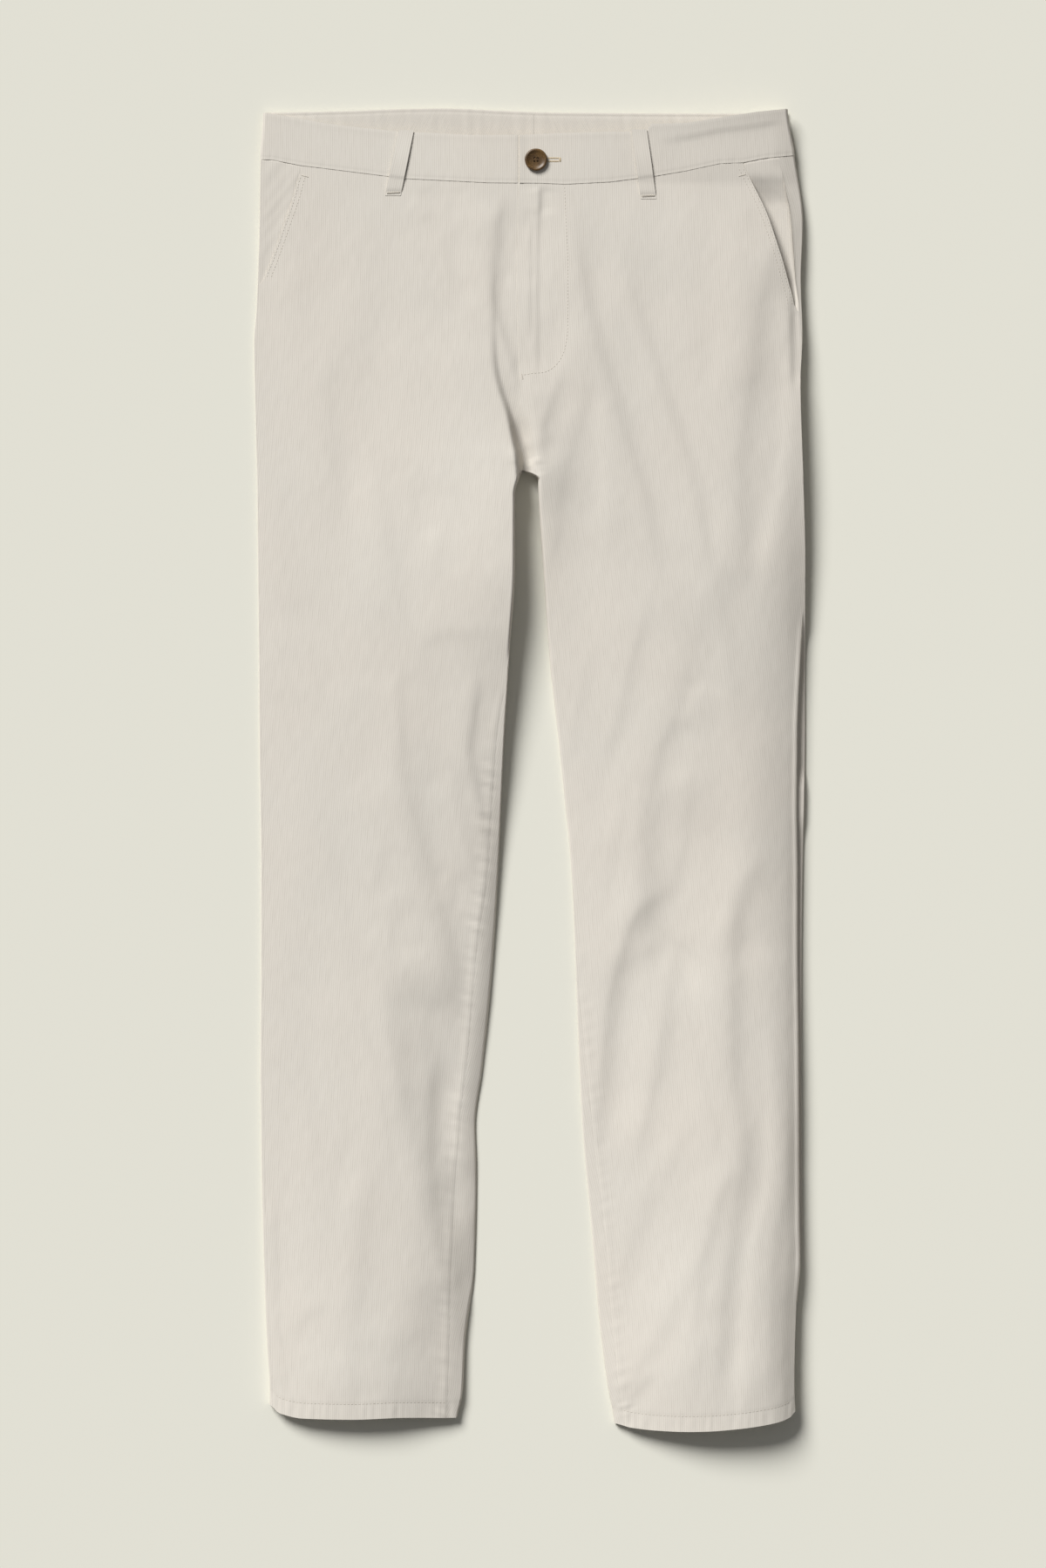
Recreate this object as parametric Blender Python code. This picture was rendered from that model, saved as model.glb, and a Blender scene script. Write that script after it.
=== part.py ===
"""Flat-laid chinos: front and back panels, pockets, fly, waistband, belt loops and button.

The garment lies on its back, front side up. +X is to the right seen from above, +Y is towards
the waist and z = 0 is the surface it lies on. Right and left are the wearer's, so the right leg
is at -X. Tables are in millimetres; "down" is the distance below the top of the back waist.
"""

import math
from bisect import bisect_right
from collections import namedtuple

import bmesh
import bpy

MM = 0.001

# Driving dimensions
LENGTH = 1077.6  # top of the back waist to the lowest hem
WALL = 1.3  # one layer of cloth with its seam allowances
BAND_WALL = 2.2  # waistband, folded double on its interlining
BAND_PROUD = 0.5  # waistband above the panels it is sewn to
FACING_WALL = 1.0
SEAM_GAP = 0.3
SIDE_HEIGHT = 4.0  # height of the side fold, where the underside has turned up
WAIST_LIFT = 2.0  # the back belt loops hold the waist off the surface
LIFT_ENDS = (62, 115)  # where that lift starts to fade and has faded

# Crotch: the legs part below a rounded notch
CROTCH_X = -5.3
CROTCH_DOWN = 297.0
NOTCH_DEPTH = 6.0
NOTCH_BASE = CROTCH_DOWN + NOTCH_DEPTH
NOTCH_POWER = 3.0
SEAM_ANGLE = math.radians(10)  # the inseam never sits lower on the side fold than this

# Pockets, fly and closure
POCKET_DROP = 2.2  # bearer below the front panel's pocket edge
POCKET_UNDERLAP = 8.0
BEARER_SHORT = 1.0  # the bearer ends this far above the bottom of the mouth
FLY_BOTTOM = 222.0
FLY_LAYER_GAP = 0.8
ZIP_WALL = 1.0
SHIELD_WALL = 1.2
BAND_END_X = -8.2  # the left half of the waistband laps over the right up to here
BAND_UNDERLAP_X = 14.0
BAND_LAP_GAP = 0.5
BUTTON_X = 5.3
BUTTON_DOWN = 43.3
BUTTON_RADIUS = 9.2
BUTTON_HEIGHT = 3.2
BUTTON_HOLE_RADIUS = 0.9
BUTTON_HOLE_SPREAD = 1.7

Leg = namedtuple("Leg", "name side sections pocket hem")
Section = namedtuple("Section", "down outer inner crown outer_roll inner_roll outer_seam inseam")
Fold = namedtuple("Fold", "width depth path")
Loop = namedtuple("Loop", "name top_x top_down end_x end_down width")

# outer, inner: silhouettes. crown: height. rolls: width of each rounded edge.
# seams: how far in from the silhouette each seam lies on the upper side.
RIGHT_SECTIONS = (
    Section(0, -216.6, -13.6, 15.0, 9, 9, 0.6, 0.1),
    Section(40, -219.4, -13.6, 16.0, 11, 9, 0.8, 0.1),
    Section(95, -220.4, -13.6, 18.5, 13, 9, 0.8, 0.1),
    Section(165, -222.9, -13.6, 20.0, 14, 9, 0.8, 0.1),
    Section(190, -224.7, -13.6, 20.0, 14, 9, 0.8, 0.1),
    Section(303, -222.3, -13.6, 20.0, 14, 9, 0.8, 0.1),
    Section(374, -221.5, -13.8, 19.0, 14, 9, 0.8, 0.1),
    Section(445, -220.8, -18.1, 18.0, 15, 10, 1.0, 0.4),
    Section(516, -220.3, -22.4, 17.2, 15, 18, 1.2, 6.4),
    Section(623, -219.0, -26.1, 16.5, 16, 28, 1.6, 8.6),
    Section(700, -219.0, -30.2, 16.0, 16, 32, 1.8, 14.2),
    Section(785, -219.5, -38.7, 15.5, 16, 30, 2.2, 13.1),
    Section(829, -219.0, -44.4, 15.2, 16, 28, 2.4, 12.4),
    Section(865, -218.6, -43.4, 15.0, 16, 28, 2.5, 16.5),
    Section(945, -216.5, -45.1, 14.6, 15, 28, 2.5, 18.8),
    Section(1008, -214.0, -52.5, 14.2, 14, 26, 2.5, 13.2),
    Section(1046, -211.9, -54.3, 13.8, 13, 24, 2.5, 12.4),
    Section(1075, -212.6, -59.6, 13.5, 12, 22, 2.5, 9.0),
)
LEFT_SECTIONS = (
    Section(0, 210.0, 6.9, 15.0, 9, 9, 8.0, 0.1),
    Section(40, 216.3, 6.9, 16.0, 12, 9, 13.0, 0.1),
    Section(95, 223.2, 6.9, 18.5, 16, 9, 9.6, 0.1),
    Section(140, 221.5, 6.9, 19.5, 16, 9, 4.6, 0.1),
    Section(185, 222.6, 6.9, 20.0, 14, 9, 1.4, 0.1),
    Section(225, 219.9, 6.9, 20.0, 13, 9, 0.8, 0.1),
    Section(303, 222.3, 6.9, 20.0, 16, 9, 0.8, 0.1),
    Section(374, 224.7, 11.0, 19.5, 26, 9, 0.8, 0.1),
    Section(445, 225.0, 16.0, 19.0, 42, 9, 6.0, 0.1),
    Section(516, 225.0, 23.8, 18.6, 46, 10, 8.9, 0.1),
    Section(623, 222.9, 34.4, 18.0, 46, 10, 6.2, 0.2),
    Section(700, 222.0, 37.8, 17.8, 46, 10, 5.2, 1.0),
    Section(765, 221.9, 40.1, 17.6, 45, 11, 3.6, 4.6),
    Section(836, 222.0, 43.7, 17.4, 44, 12, 2.9, 8.4),
    Section(907, 222.6, 50.1, 17.2, 42, 12, 3.2, 9.0),
    Section(944, 221.2, 53.2, 17.0, 42, 12, 1.4, 11.3),
    Section(983, 217.4, 56.4, 16.8, 40, 12, 1.0, 11.2),
    Section(1039, 216.0, 63.3, 16.4, 38, 12, 1.0, 8.2),
    Section(1080, 217.2, 69.6, 16.0, 36, 12, 1.0, 8.0),
)

# Slanted pocket mouths: (down, distance in from the side silhouette)
RIGHT_POCKET = ((44, 34.5), (60, 30.6), (73, 27.3), (94, 20.4), (109, 15.6), (126, 10.0), (139, 6.0))
LEFT_POCKET = ((40, 44.5), (57, 40.0), (84, 30.7), (104, 23.8), (128, 14.9), (144, 10.3), (162, 6.6))
POCKET_MERGE = 5.0  # below its bar tack the pocket edge runs out to the side seam

# Edges that cross the garment: (x, down)
BAND_TOP = (
    (-216.9, 3.6), (-192.8, 7.8), (-168.6, 12.4), (-143, 15.9), (-105.4, 19.9), (-79.2, 21.1),
    (-47.9, 22.7), (-5.3, 22.7), (25.2, 21.3), (56.4, 20.6), (95.5, 20.2), (98.5, 14.0),
    (127.4, 13.5), (155, 9.2), (184.9, 4.3), (210.5, 1.4),
)
BAND_SEAM = (
    (-219, 41.9), (-209.8, 42.2), (-187, 46.9), (-149.5, 51.8), (-100.5, 58.2), (-33.7, 61.8),
    (8.9, 62.1), (28.8, 63.0), (65.7, 61.1), (101.2, 56.6), (127.4, 52.2), (155.1, 46.2),
    (173.6, 45.4), (190.6, 41.9), (215.5, 39.0),
)
BACK_TOP = (
    (-216.9, 3.6), (-155.8, 2.5), (-96.9, 0.5), (-72.8, 0.2), (-11.7, 2.6), (23, 3.6),
    (135.3, 4.3), (185, 4.3), (204.8, 1.8), (210.5, 1.4),
)
BACK_SEAM = ((-219, 41.9), (215.5, 39.0))
RIGHT_HEM = (
    (-213, 1057), (-203.4, 1064), (-184, 1067.8), (-144, 1068.3), (-105, 1067), (-59, 1067.8),
)
LEFT_HEM = (
    (68.3, 1072.8), (82.7, 1075.6), (107, 1077.6), (142, 1077.6), (164, 1075.6), (189, 1072.8),
    (211, 1067), (217, 1061),
)
FLY_EDGE = ((0, -8.2), (63, -8.6), (133, -10.2), (218, -7.6), (CROTCH_DOWN, CROTCH_X))
CENTRE_BACK = ((0, 3.9), (140, 1.0), (CROTCH_DOWN, CROTCH_X))

RIGHT = Leg("right", -1, RIGHT_SECTIONS, RIGHT_POCKET, RIGHT_HEM)
LEFT = Leg("left", 1, LEFT_SECTIONS, LEFT_POCKET, LEFT_HEM)

# The largest folds: soft troughs along (x, down) paths
FOLDS = (
    Fold(8, 4.5, ((-31, 175), (-26, 215), (-13, 262), (-9, 290))),
    Fold(10, 3.5, ((44, 150), (62, 225), (88, 310), (112, 380))),
    Fold(10, 3.0, ((86, 150), (110, 230), (136, 320), (162, 400))),
    Fold(11, 4.0, ((168, 180), (171, 270), (177, 360))),
    Fold(9, 4.0, ((94, 655), (74, 690), (61, 745), (58, 810))),
    Fold(10, 3.0, ((128, 685), (108, 765), (92, 850))),
    Fold(10, 3.0, ((176, 690), (175, 780), (168, 870))),
    Fold(12, 3.0, ((-104, 535), (-82, 620), (-62, 700))),
    Fold(9, 4.0, ((-80, 790), (-74, 860), (-69, 940), (-66, 1020))),
)
FOLD_FADE = 30.0  # a fold fades in and out over this length

BELT_LOOPS = (
    Loop("belt_loop_front_right", -100.4, 18.5, -111.2, 72.0, 12.6),
    Loop("belt_loop_front_left", 89.1, 18.5, 96.9, 75.0, 12.6),
    Loop("belt_loop_back_right", -128.0, 3.0, -128.0, 54.0, 12.6),
    Loop("belt_loop_back_centre", 3.0, 4.5, 2.5, 54.0, 12.6),
    Loop("belt_loop_back_left", 132.0, 5.5, 132.0, 54.0, 12.6),
)
LOOP_WALL = 1.4
LOOP_RISE = ((0, 0.95), (0.15, 1.6), (0.5, 2.2), (0.8, 1.5), (1, 0.45))
BACK_LOOP_GAP = 0.35

# Rows of the panels, down the garment, and columns across a front panel
LEVELS = (
    61, 80, 103, 126, 147, 168, 190, 212, 240, 268, 288, 295, 298.2, 300.5, 303, 313, 338, 372,
    412, 456, 504, 556, 608, 660, 712, 764, 816, 868, 920, 972, 1024, 1058, 1074,
)
WAIST_LEVEL = LEVELS[0]
WAIST_FADE = 212.0  # rows follow the waist seam above this and lie straight across below
HEM_LEVEL = LEVELS[-1]
HEM_FADE = 920.0  # rows follow the hem below this
FRONT_SPACING = (0, 0.012, 0.045, 0.11, 0.2, 0.31, 0.43, 0.55, 0.67, 0.79, 0.89, 0.96, 1)
CURL_STEPS = (1, 0.66, 0.33, 0)  # of the way from a seam down to the side fold
TURN_STEPS = (0.5, 1)  # of the quarter turn from the side fold to the underside
BACK_SPACING = (0.25, 0.5, 0.75)
TORSO_PLEAT = 0.35  # spacing above the crotch of the columns that turn up below it

CLOTH = ("cloth", (0.64, 0.59, 0.52, 1), 0.9)
FACING = ("facing", (0.62, 0.57, 0.49, 1), 0.9)
ZIP = ("zip", (0.55, 0.50, 0.42, 1), 0.6)
BUTTON = ("button", (0.085, 0.042, 0.014, 1), 0.35)


def smooth(table, at):
    """Value at `at` on a smooth curve through (position, value) rows that never overshoots."""
    places = [row[0] for row in table]
    values = [row[1] for row in table]
    if at <= places[0]:
        return values[0]
    if at >= places[-1]:
        return values[-1]
    k = bisect_right(places, at) - 1
    slopes = [(values[i + 1] - values[i]) / (places[i + 1] - places[i]) for i in range(len(table) - 1)]

    def tangent(i):
        if i == 0 or i == len(slopes) or slopes[i - 1] * slopes[i] <= 0:
            return 0.0
        return 2 * slopes[i - 1] * slopes[i] / (slopes[i - 1] + slopes[i])

    span = places[k + 1] - places[k]
    t = (at - places[k]) / span
    start = (1 + 2 * t) * (1 - t) ** 2 * values[k] + t * (1 - t) ** 2 * span * tangent(k)
    end = t * t * (3 - 2 * t) * values[k + 1] - t * t * (1 - t) * span * tangent(k + 1)
    return start + end


def straight(table, at):
    """Value at `at` on straight lines between (position, value) rows."""
    for (a, va), (b, vb) in zip(table, table[1:]):
        if at <= b:
            t = max(0.0, (at - a) / (b - a))
            return va + (vb - va) * t
    return table[-1][1]


def ease(t):
    t = min(1.0, max(0.0, t))
    return t * t * (3 - 2 * t)


def size(leg, name, down):
    """One column of a leg's sections, at any distance down."""
    return smooth([(row.down, getattr(row, name)) for row in leg.sections], down)


def fold_depth(x, down):
    """Depth of all folds at a point of the upper side."""
    total = 0.0
    for fold in FOLDS:
        best, along, length = 1e9, 0.0, 0.0
        for (ax, ad), (bx, bd) in zip(fold.path, fold.path[1:]):
            step = math.hypot(bx - ax, bd - ad)
            t = ((x - ax) * (bx - ax) + (down - ad) * (bd - ad)) / step**2
            t = min(1.0, max(0.0, t))
            gap = math.hypot(x - ax - t * (bx - ax), down - ad - t * (bd - ad))
            if gap < best:
                best, along = gap, length + t * step
            length += step
        fade = ease(along / FOLD_FADE) * ease((length - along) / FOLD_FADE)
        total += fold.depth * fade * math.exp(-((best / fold.width) ** 2))
    return total


def notch_width(leg, down):
    return abs(size(leg, "inner", max(down, NOTCH_BASE)) - CROTCH_X)


def edges(leg, x, down):
    """Distances in from the outer and inner silhouettes, and the direction away from the notch."""
    from_outer = leg.side * (size(leg, "outer", down) - x)
    reach = abs(x - CROTCH_X)
    width = notch_width(leg, down)
    if down >= NOTCH_BASE:
        return from_outer, reach - width, (leg.side, 0.0)
    steepness = width / NOTCH_DEPTH
    rise = (NOTCH_BASE - down) * steepness
    total = (reach**NOTCH_POWER + rise**NOTCH_POWER) ** (1 / NOTCH_POWER)
    across = (reach / total) ** 2
    up = (rise / total) ** 2 * steepness
    length = math.hypot(across, up)
    return from_outer, total - width, (leg.side * across / length, up / length)


def waist_lift(down):
    start, end = LIFT_ENDS
    return WAIST_LIFT * (1 - ease((down - start) / (end - start)))


def placed(leg, x, down, height, outer_turn, inner_turn, away, up, depth):
    """A point, moved `depth` into the garment along the direction its turned edges give."""
    push_x = -leg.side * outer_turn + away[0] * inner_turn
    push_y = away[1] * inner_turn
    flat = math.hypot(push_x, push_y)
    if flat > 1:
        push_x, push_y, flat = push_x / flat, push_y / flat, 1.0
    push_z = up * math.sqrt(1 - flat**2)
    y = LENGTH / 2 - down
    return (
        (x + push_x * depth) * MM,
        (y + push_y * depth) * MM,
        (height + push_z * depth) * MM,
    )


def turn(distance, radius):
    """Cosine and sine of the angle at which an edge of that radius has turned."""
    cosine = min(1.0, max(0.0, 1 - distance / radius))
    return cosine, math.sqrt(1 - cosine**2)


def cover(leg, x, down, depth=0.0):
    """Point of the upper side."""
    from_outer, from_inner, away = edges(leg, x, down)
    outer_cos, outer_sin = turn(from_outer, size(leg, "outer_roll", down))
    inner_cos, inner_sin = turn(from_inner, size(leg, "inner_roll", down))
    top = size(leg, "crown", down) - fold_depth(x, down)
    height = SIDE_HEIGHT + (top - SIDE_HEIGHT) * outer_sin * inner_sin + waist_lift(down)
    return placed(leg, x, down, height, outer_cos, inner_cos, away, -1, depth)


def tray(leg, x, down, depth=0.0):
    """Point of the underside."""
    from_outer, from_inner, away = edges(leg, x, down)
    outer_cos, outer_sin = turn(from_outer, SIDE_HEIGHT)
    inner_cos, inner_sin = turn(from_inner, SIDE_HEIGHT)
    height = SIDE_HEIGHT * (1 - outer_sin * inner_sin) + waist_lift(down)
    return placed(leg, x, down, height, outer_cos, inner_cos, away, 1, depth)


def inset(leg, side_name, down, shift):
    """How far in a seam lies, moved by `shift` along the rounded edge."""
    radius = size(leg, side_name + "_roll", down)
    seam = size(leg, "inseam" if side_name == "inner" else "outer_seam", down)
    if seam >= radius:
        return seam + shift
    rise = size(leg, "crown", down) - SIDE_HEIGHT
    angle = max(SEAM_ANGLE, math.acos(1 - seam / radius))
    angle += shift / math.hypot(radius * math.sin(angle), rise * math.cos(angle))
    return radius * (1 - math.cos(angle))


def inner_x(leg, down, inward, centre, least):
    """x of the line that lies `inward` from the notch, or beside the centre seam above it."""
    width = notch_width(leg, down) + inward
    if down < NOTCH_BASE:
        rise = (NOTCH_BASE - down) * notch_width(leg, down) / NOTCH_DEPTH
        width = max(0.0, width**NOTCH_POWER - rise**NOTCH_POWER) ** (1 / NOTCH_POWER)
    if width > least:
        return CROTCH_X + leg.side * width
    return straight(centre, down) + leg.side * least


def front_inset(leg, down):
    """The front panel's outer boundary: the pocket mouth, then the side seam."""
    seam = inset(leg, "outer", down, SEAM_GAP / 2)
    last_down, last = leg.pocket[-1]
    if down <= last_down:
        return smooth(leg.pocket, down)
    return seam + max(0.0, last - seam) * (1 - ease((down - last_down) / POCKET_MERGE))


def row_down(level, x, waist, waist_shift, hem):
    """Where a row lies at x: along the waist seam at the top and along the hem at the end."""
    if level < WAIST_FADE:
        share = (WAIST_FADE - level) / (WAIST_FADE - WAIST_LEVEL)
        return level + share * (straight(waist, x) + waist_shift - WAIST_LEVEL)
    if level > HEM_FADE:
        share = (level - HEM_FADE) / (HEM_LEVEL - HEM_FADE)
        return level + share * (smooth(hem, x) - HEM_LEVEL)
    return level


def settle(level, find_x, waist, hem):
    """x and down of one lattice point, whose row bends with x while x depends on down."""
    down = level
    for _ in range(4):
        x = find_x(down)
        down = row_down(level, x, waist, SEAM_GAP, hem)
    return x, down


def front_lattice(leg, depth):
    rows = []
    for level in LEVELS:
        row = []
        for share in FRONT_SPACING:

            def find_x(down):
                outer = size(leg, "outer", down) - leg.side * front_inset(leg, down)
                edge = inset(leg, "inner", down, SEAM_GAP / 2)
                inner = inner_x(leg, down, edge, FLY_EDGE, SEAM_GAP / 2)
                return outer + (inner - outer) * share

            row.append(cover(leg, *settle(level, find_x, BAND_SEAM, leg.hem), depth))
        rows.append(row)
    return rows


def back_lattice(leg, depth):
    """From the side seam down round the side fold, across the underside and up to the inseam."""
    rows = []
    for level in LEVELS:
        row = []

        def add(surface, find_x):
            waist = BAND_SEAM if surface is cover else BACK_SEAM
            row.append(surface(leg, *settle(level, find_x, waist, leg.hem), depth))

        for step in CURL_STEPS:
            add(cover, lambda down: outer_x(leg, down, curl(leg, "outer", down, step)))
        for step in TURN_STEPS:
            add(tray, lambda down: outer_x(leg, down, quarter(step)))
        for share in BACK_SPACING:

            def between(down):
                start = outer_x(leg, down, SIDE_HEIGHT)
                end = inner_x(leg, down, SIDE_HEIGHT, CENTRE_BACK, 6 * TORSO_PLEAT)
                return start + (end - start) * share

            add(tray, between)
        pleats = len(TURN_STEPS) + len(CURL_STEPS)
        for k, step in enumerate(reversed(TURN_STEPS)):
            least = SEAM_GAP / 2 + (pleats - 1 - k) * TORSO_PLEAT
            add(tray, lambda down: inner_x(leg, down, quarter(step), CENTRE_BACK, least))
        for k, step in enumerate(reversed(CURL_STEPS)):
            least = SEAM_GAP / 2 + (len(CURL_STEPS) - 1 - k) * TORSO_PLEAT
            surface = tray if level <= CROTCH_DOWN else cover
            add(
                surface,
                lambda down: inner_x(leg, down, curl(leg, "inner", down, step), CENTRE_BACK, least),
            )
        rows.append(row)
    return rows


def outer_x(leg, down, inward):
    return size(leg, "outer", down) - leg.side * inward


def curl(leg, side_name, down, step):
    """Distance in from the silhouette of a point part of the way up to the seam."""
    radius = size(leg, side_name + "_roll", down)
    edge = inset(leg, side_name, down, -SEAM_GAP / 2)
    if edge >= radius:
        return edge * step
    return radius * (1 - math.cos(math.acos(1 - edge / radius) * step))


def quarter(step):
    return SIDE_HEIGHT * (1 - math.cos(math.radians(90) * step))


def material(spec):
    """A Principled material from (name, colour, roughness)."""
    name, colour, roughness = spec
    made = bpy.data.materials.get(name) or bpy.data.materials.new(name)
    made.use_nodes = True
    made.diffuse_color = colour
    surface = made.node_tree.nodes["Principled BSDF"]
    surface.inputs["Base Color"].default_value = colour
    surface.inputs["Roughness"].default_value = roughness
    surface.inputs["Metallic"].default_value = 0.0
    return made


def finish(name, shape, spec, garment):
    """Turns a bmesh into a named object of the garment."""
    mesh = bpy.data.meshes.new(name)
    shape.to_mesh(mesh)
    shape.free()
    mesh.materials.append(material(spec))
    mesh.shade_smooth()
    mesh.set_sharp_from_angle(angle=math.radians(40))
    piece = bpy.data.objects.new(name, mesh)
    bpy.context.collection.objects.link(piece)
    piece.parent = garment
    return piece


def shell(name, outside, inside, spec, garment):
    """A closed wall between two lattices of the same size."""
    shape = bmesh.new()
    rows, columns = len(outside), len(outside[0])
    skins = [[[shape.verts.new(p) for p in row] for row in skin] for skin in (outside, inside)]
    for skin in skins:
        for r in range(rows - 1):
            for c in range(columns - 1):
                shape.faces.new((skin[r][c], skin[r][c + 1], skin[r + 1][c + 1], skin[r + 1][c]))
    rim = [(0, c) for c in range(columns)]
    rim += [(r, columns - 1) for r in range(1, rows)]
    rim += [(rows - 1, c) for c in range(columns - 2, -1, -1)]
    rim += [(r, 0) for r in range(rows - 2, 0, -1)]
    for (r, c), (s, d) in zip(rim, rim[1:] + rim[:1]):
        shape.faces.new((skins[0][r][c], skins[0][s][d], skins[1][s][d], skins[1][r][c]))
    bmesh.ops.recalc_face_normals(shape, faces=shape.faces)
    return finish(name, shape, spec, garment)


def strip(surface, leg, downs, across, depth):
    """Lattice of a strip: `across(down)` gives each row's x values, `depth(x, down)` its depth."""
    return [[surface(leg, x, down, depth(x, down)) for x in across(down)] for down in downs]


def panels(leg, garment):
    fronts = [front_lattice(leg, depth) for depth in (0.0, WALL)]
    shell(f"front_{leg.name}", *fronts, CLOTH, garment)
    backs = [back_lattice(leg, depth) for depth in (0.0, WALL)]
    shell(f"back_{leg.name}", *backs, CLOTH, garment)


def pocket_bearer(leg, garment):
    """The piece seen inside the slanted pocket mouth, running under the front panel's edge."""
    end = leg.pocket[-1][0] - BEARER_SHORT
    start = straight(BAND_SEAM, outer_x(leg, 45, 20)) + SEAM_GAP
    steps = 7
    shares = (0, 0.25, 0.55, 1)

    def lattice(extra):
        rows = []
        for k in range(steps + 1):
            row = []
            for share in shares:
                down = start + (end - start) * k / steps
                for _ in range(3):
                    seam = inset(leg, "outer", down, SEAM_GAP / 2)
                    mouth = smooth(leg.pocket, down)
                    inward = seam + (mouth + POCKET_UNDERLAP - seam) * share
                    x = outer_x(leg, down, inward)
                    top = straight(BAND_SEAM, x) + SEAM_GAP
                    down = top + (end - top) * k / steps
                drop = POCKET_DROP * ease((inward - seam) / (mouth - seam))
                row.append(cover(leg, x, down, drop + extra))
            rows.append(row)
        return rows

    shell(f"pocket_bearer_{leg.name}", lattice(0.0), lattice(WALL), CLOTH, garment)


def band_lattice(leg, xs, top, seam, surface, depth):
    rows = []
    for share in (0, 0.33, 0.66, 1):
        row = []
        for x in xs:
            start = straight(top, x)
            down = start + (straight(seam, x) - start) * share
            side_x = size(leg, "outer", down)
            inward = max(0.12, leg.side * (side_x - x))
            row.append(surface(leg, side_x - leg.side * inward, down, depth(x, down)))
        rows.append(row)
    return rows


def waistband(leg, garment):
    """Front half, back half and the facing seen inside the back half."""
    side = leg.side
    reach = abs(leg.sections[0].outer)
    side_xs = [side * (reach + 9 - inward) for inward in (0, 1, 3, 7, 12, 18, 30)]
    if leg is RIGHT:
        end_xs = (-150, -105, -60, -30, -19, -9.5, 2, BAND_UNDERLAP_X)
    else:
        end_xs = (155, 127, 98.5, 95.5, 60, 30, 8, BAND_END_X)
    drop = BAND_WALL + BAND_LAP_GAP

    def lap(x, down):
        under = ease((x + 22) / 12) if leg is RIGHT else 0.0
        return drop * under - BAND_PROUD

    front = [
        band_lattice(leg, side_xs + list(end_xs), BAND_TOP, BAND_SEAM, cover, layer)
        for layer in (lap, lambda x, down: lap(x, down) + BAND_WALL)
    ]
    shell(f"waistband_front_{leg.name}", *front, CLOTH, garment)

    back_side = [side * (reach + 9 - inward) for inward in (0, 1, 3, 6, 10, 14)]
    middle = straight(CENTRE_BACK, 20)
    back_xs = back_side + [side * 150, side * 75, middle + side * SEAM_GAP / 2]
    back = [
        band_lattice(leg, back_xs, BACK_TOP, BACK_SEAM, tray, lambda x, down, d=d: d)
        for d in (0.0, WALL)
    ]
    shell(f"waistband_back_{leg.name}", *back, CLOTH, garment)

    facing_xs = [side * (reach - 9), side * 150, side * 75, middle + side * SEAM_GAP / 2]
    start = WALL + SEAM_GAP
    facing = [
        band_lattice(leg, facing_xs, BACK_TOP, BACK_SEAM, tray, lambda x, down, d=d: d)
        for d in (start, start + FACING_WALL)
    ]
    shell(f"waist_facing_{leg.name}", *facing, FACING, garment)


def fly(garment):
    """The closed zip and the shield behind it, under the edge of the left front."""
    zip_start = WALL + FLY_LAYER_GAP
    shield_start = zip_start + ZIP_WALL + FLY_LAYER_GAP
    layers = (
        ("fly_zip", zip_start, ZIP_WALL, (-8, 0, 9, 18), ZIP),
        ("fly_shield", shield_start, SHIELD_WALL, (-12, 0, 12, 26), CLOTH),
    )
    top = straight(BAND_SEAM, 0) + 1
    downs = [top + (FLY_BOTTOM - top) * k / 6 for k in range(7)]
    for name, start, wall, offsets, spec in layers:
        skins = [
            strip(
                cover,
                LEFT,
                downs,
                lambda down: [straight(FLY_EDGE, down) + offset for offset in offsets],
                lambda x, down, d=d: d,
            )
            for d in (start, start + wall)
        ]
        shell(name, *skins, spec, garment)


def belt_loop(loop, garment):
    leg = RIGHT if loop.top_x < 0 else LEFT
    at_back = "back" in loop.name
    surface = tray if at_back else cover
    skins = []
    for layer in (0.0, LOOP_WALL):
        rows = []
        for share, rise in LOOP_RISE:
            down = loop.top_down + (loop.end_down - loop.top_down) * share
            centre = loop.top_x + (loop.end_x - loop.top_x) * share
            depth = BACK_LOOP_GAP + layer if at_back else rise + layer
            xs = [centre + loop.width * k for k in (-0.5, 0, 0.5)]
            rows.append([surface(leg, x, down, -depth) for x in xs])
        skins.append(rows)
    shell(loop.name, *skins, CLOTH, garment)


def button(garment):
    """A turned four-hole button: rounded edge, raised rim and dished middle."""
    radius, height = BUTTON_RADIUS, BUTTON_HEIGHT
    profile = (
        (0, 0), (radius * 0.72, 0), (radius * 0.94, height * 0.28), (radius, height * 0.6),
        (radius * 0.95, height * 0.9), (radius * 0.84, height), (radius * 0.72, height * 0.9),
        (radius * 0.6, height * 0.72), (0, height * 0.66),
    )
    shape = bmesh.new()
    points = [shape.verts.new((r * MM, 0, z * MM)) for r, z in profile]
    for a, b in zip(points, points[1:]):
        shape.edges.new((a, b))
    bmesh.ops.spin(
        shape, geom=shape.verts[:] + shape.edges[:], cent=(0, 0, 0), axis=(0, 0, 1),
        angle=math.tau, steps=20, use_merge=True,
    )
    bmesh.ops.remove_doubles(shape, verts=shape.verts, dist=1e-6)
    bmesh.ops.recalc_face_normals(shape, faces=shape.faces)
    piece = finish("waist_button", shape, BUTTON, garment)
    seat = cover(LEFT, BUTTON_X, BUTTON_DOWN, -BAND_PROUD - SEAM_GAP - 0.2)
    piece.location = seat
    for k in range(4):
        angle = math.radians(45 + 90 * k)
        bpy.ops.mesh.primitive_cylinder_add(
            vertices=8,
            radius=BUTTON_HOLE_RADIUS * MM,
            depth=height * 3 * MM,
            location=(
                seat[0] + BUTTON_HOLE_SPREAD * MM * math.cos(angle),
                seat[1] + BUTTON_HOLE_SPREAD * MM * math.sin(angle),
                seat[2],
            ),
        )
        cutter = bpy.context.object
        cutter.name = f"button_hole_cutter_{k}"
        cutter.hide_render = True
        cutter.display_type = "WIRE"
        hole = piece.modifiers.new(f"hole_{k}", "BOOLEAN")
        hole.operation = "DIFFERENCE"
        hole.object = cutter


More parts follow.
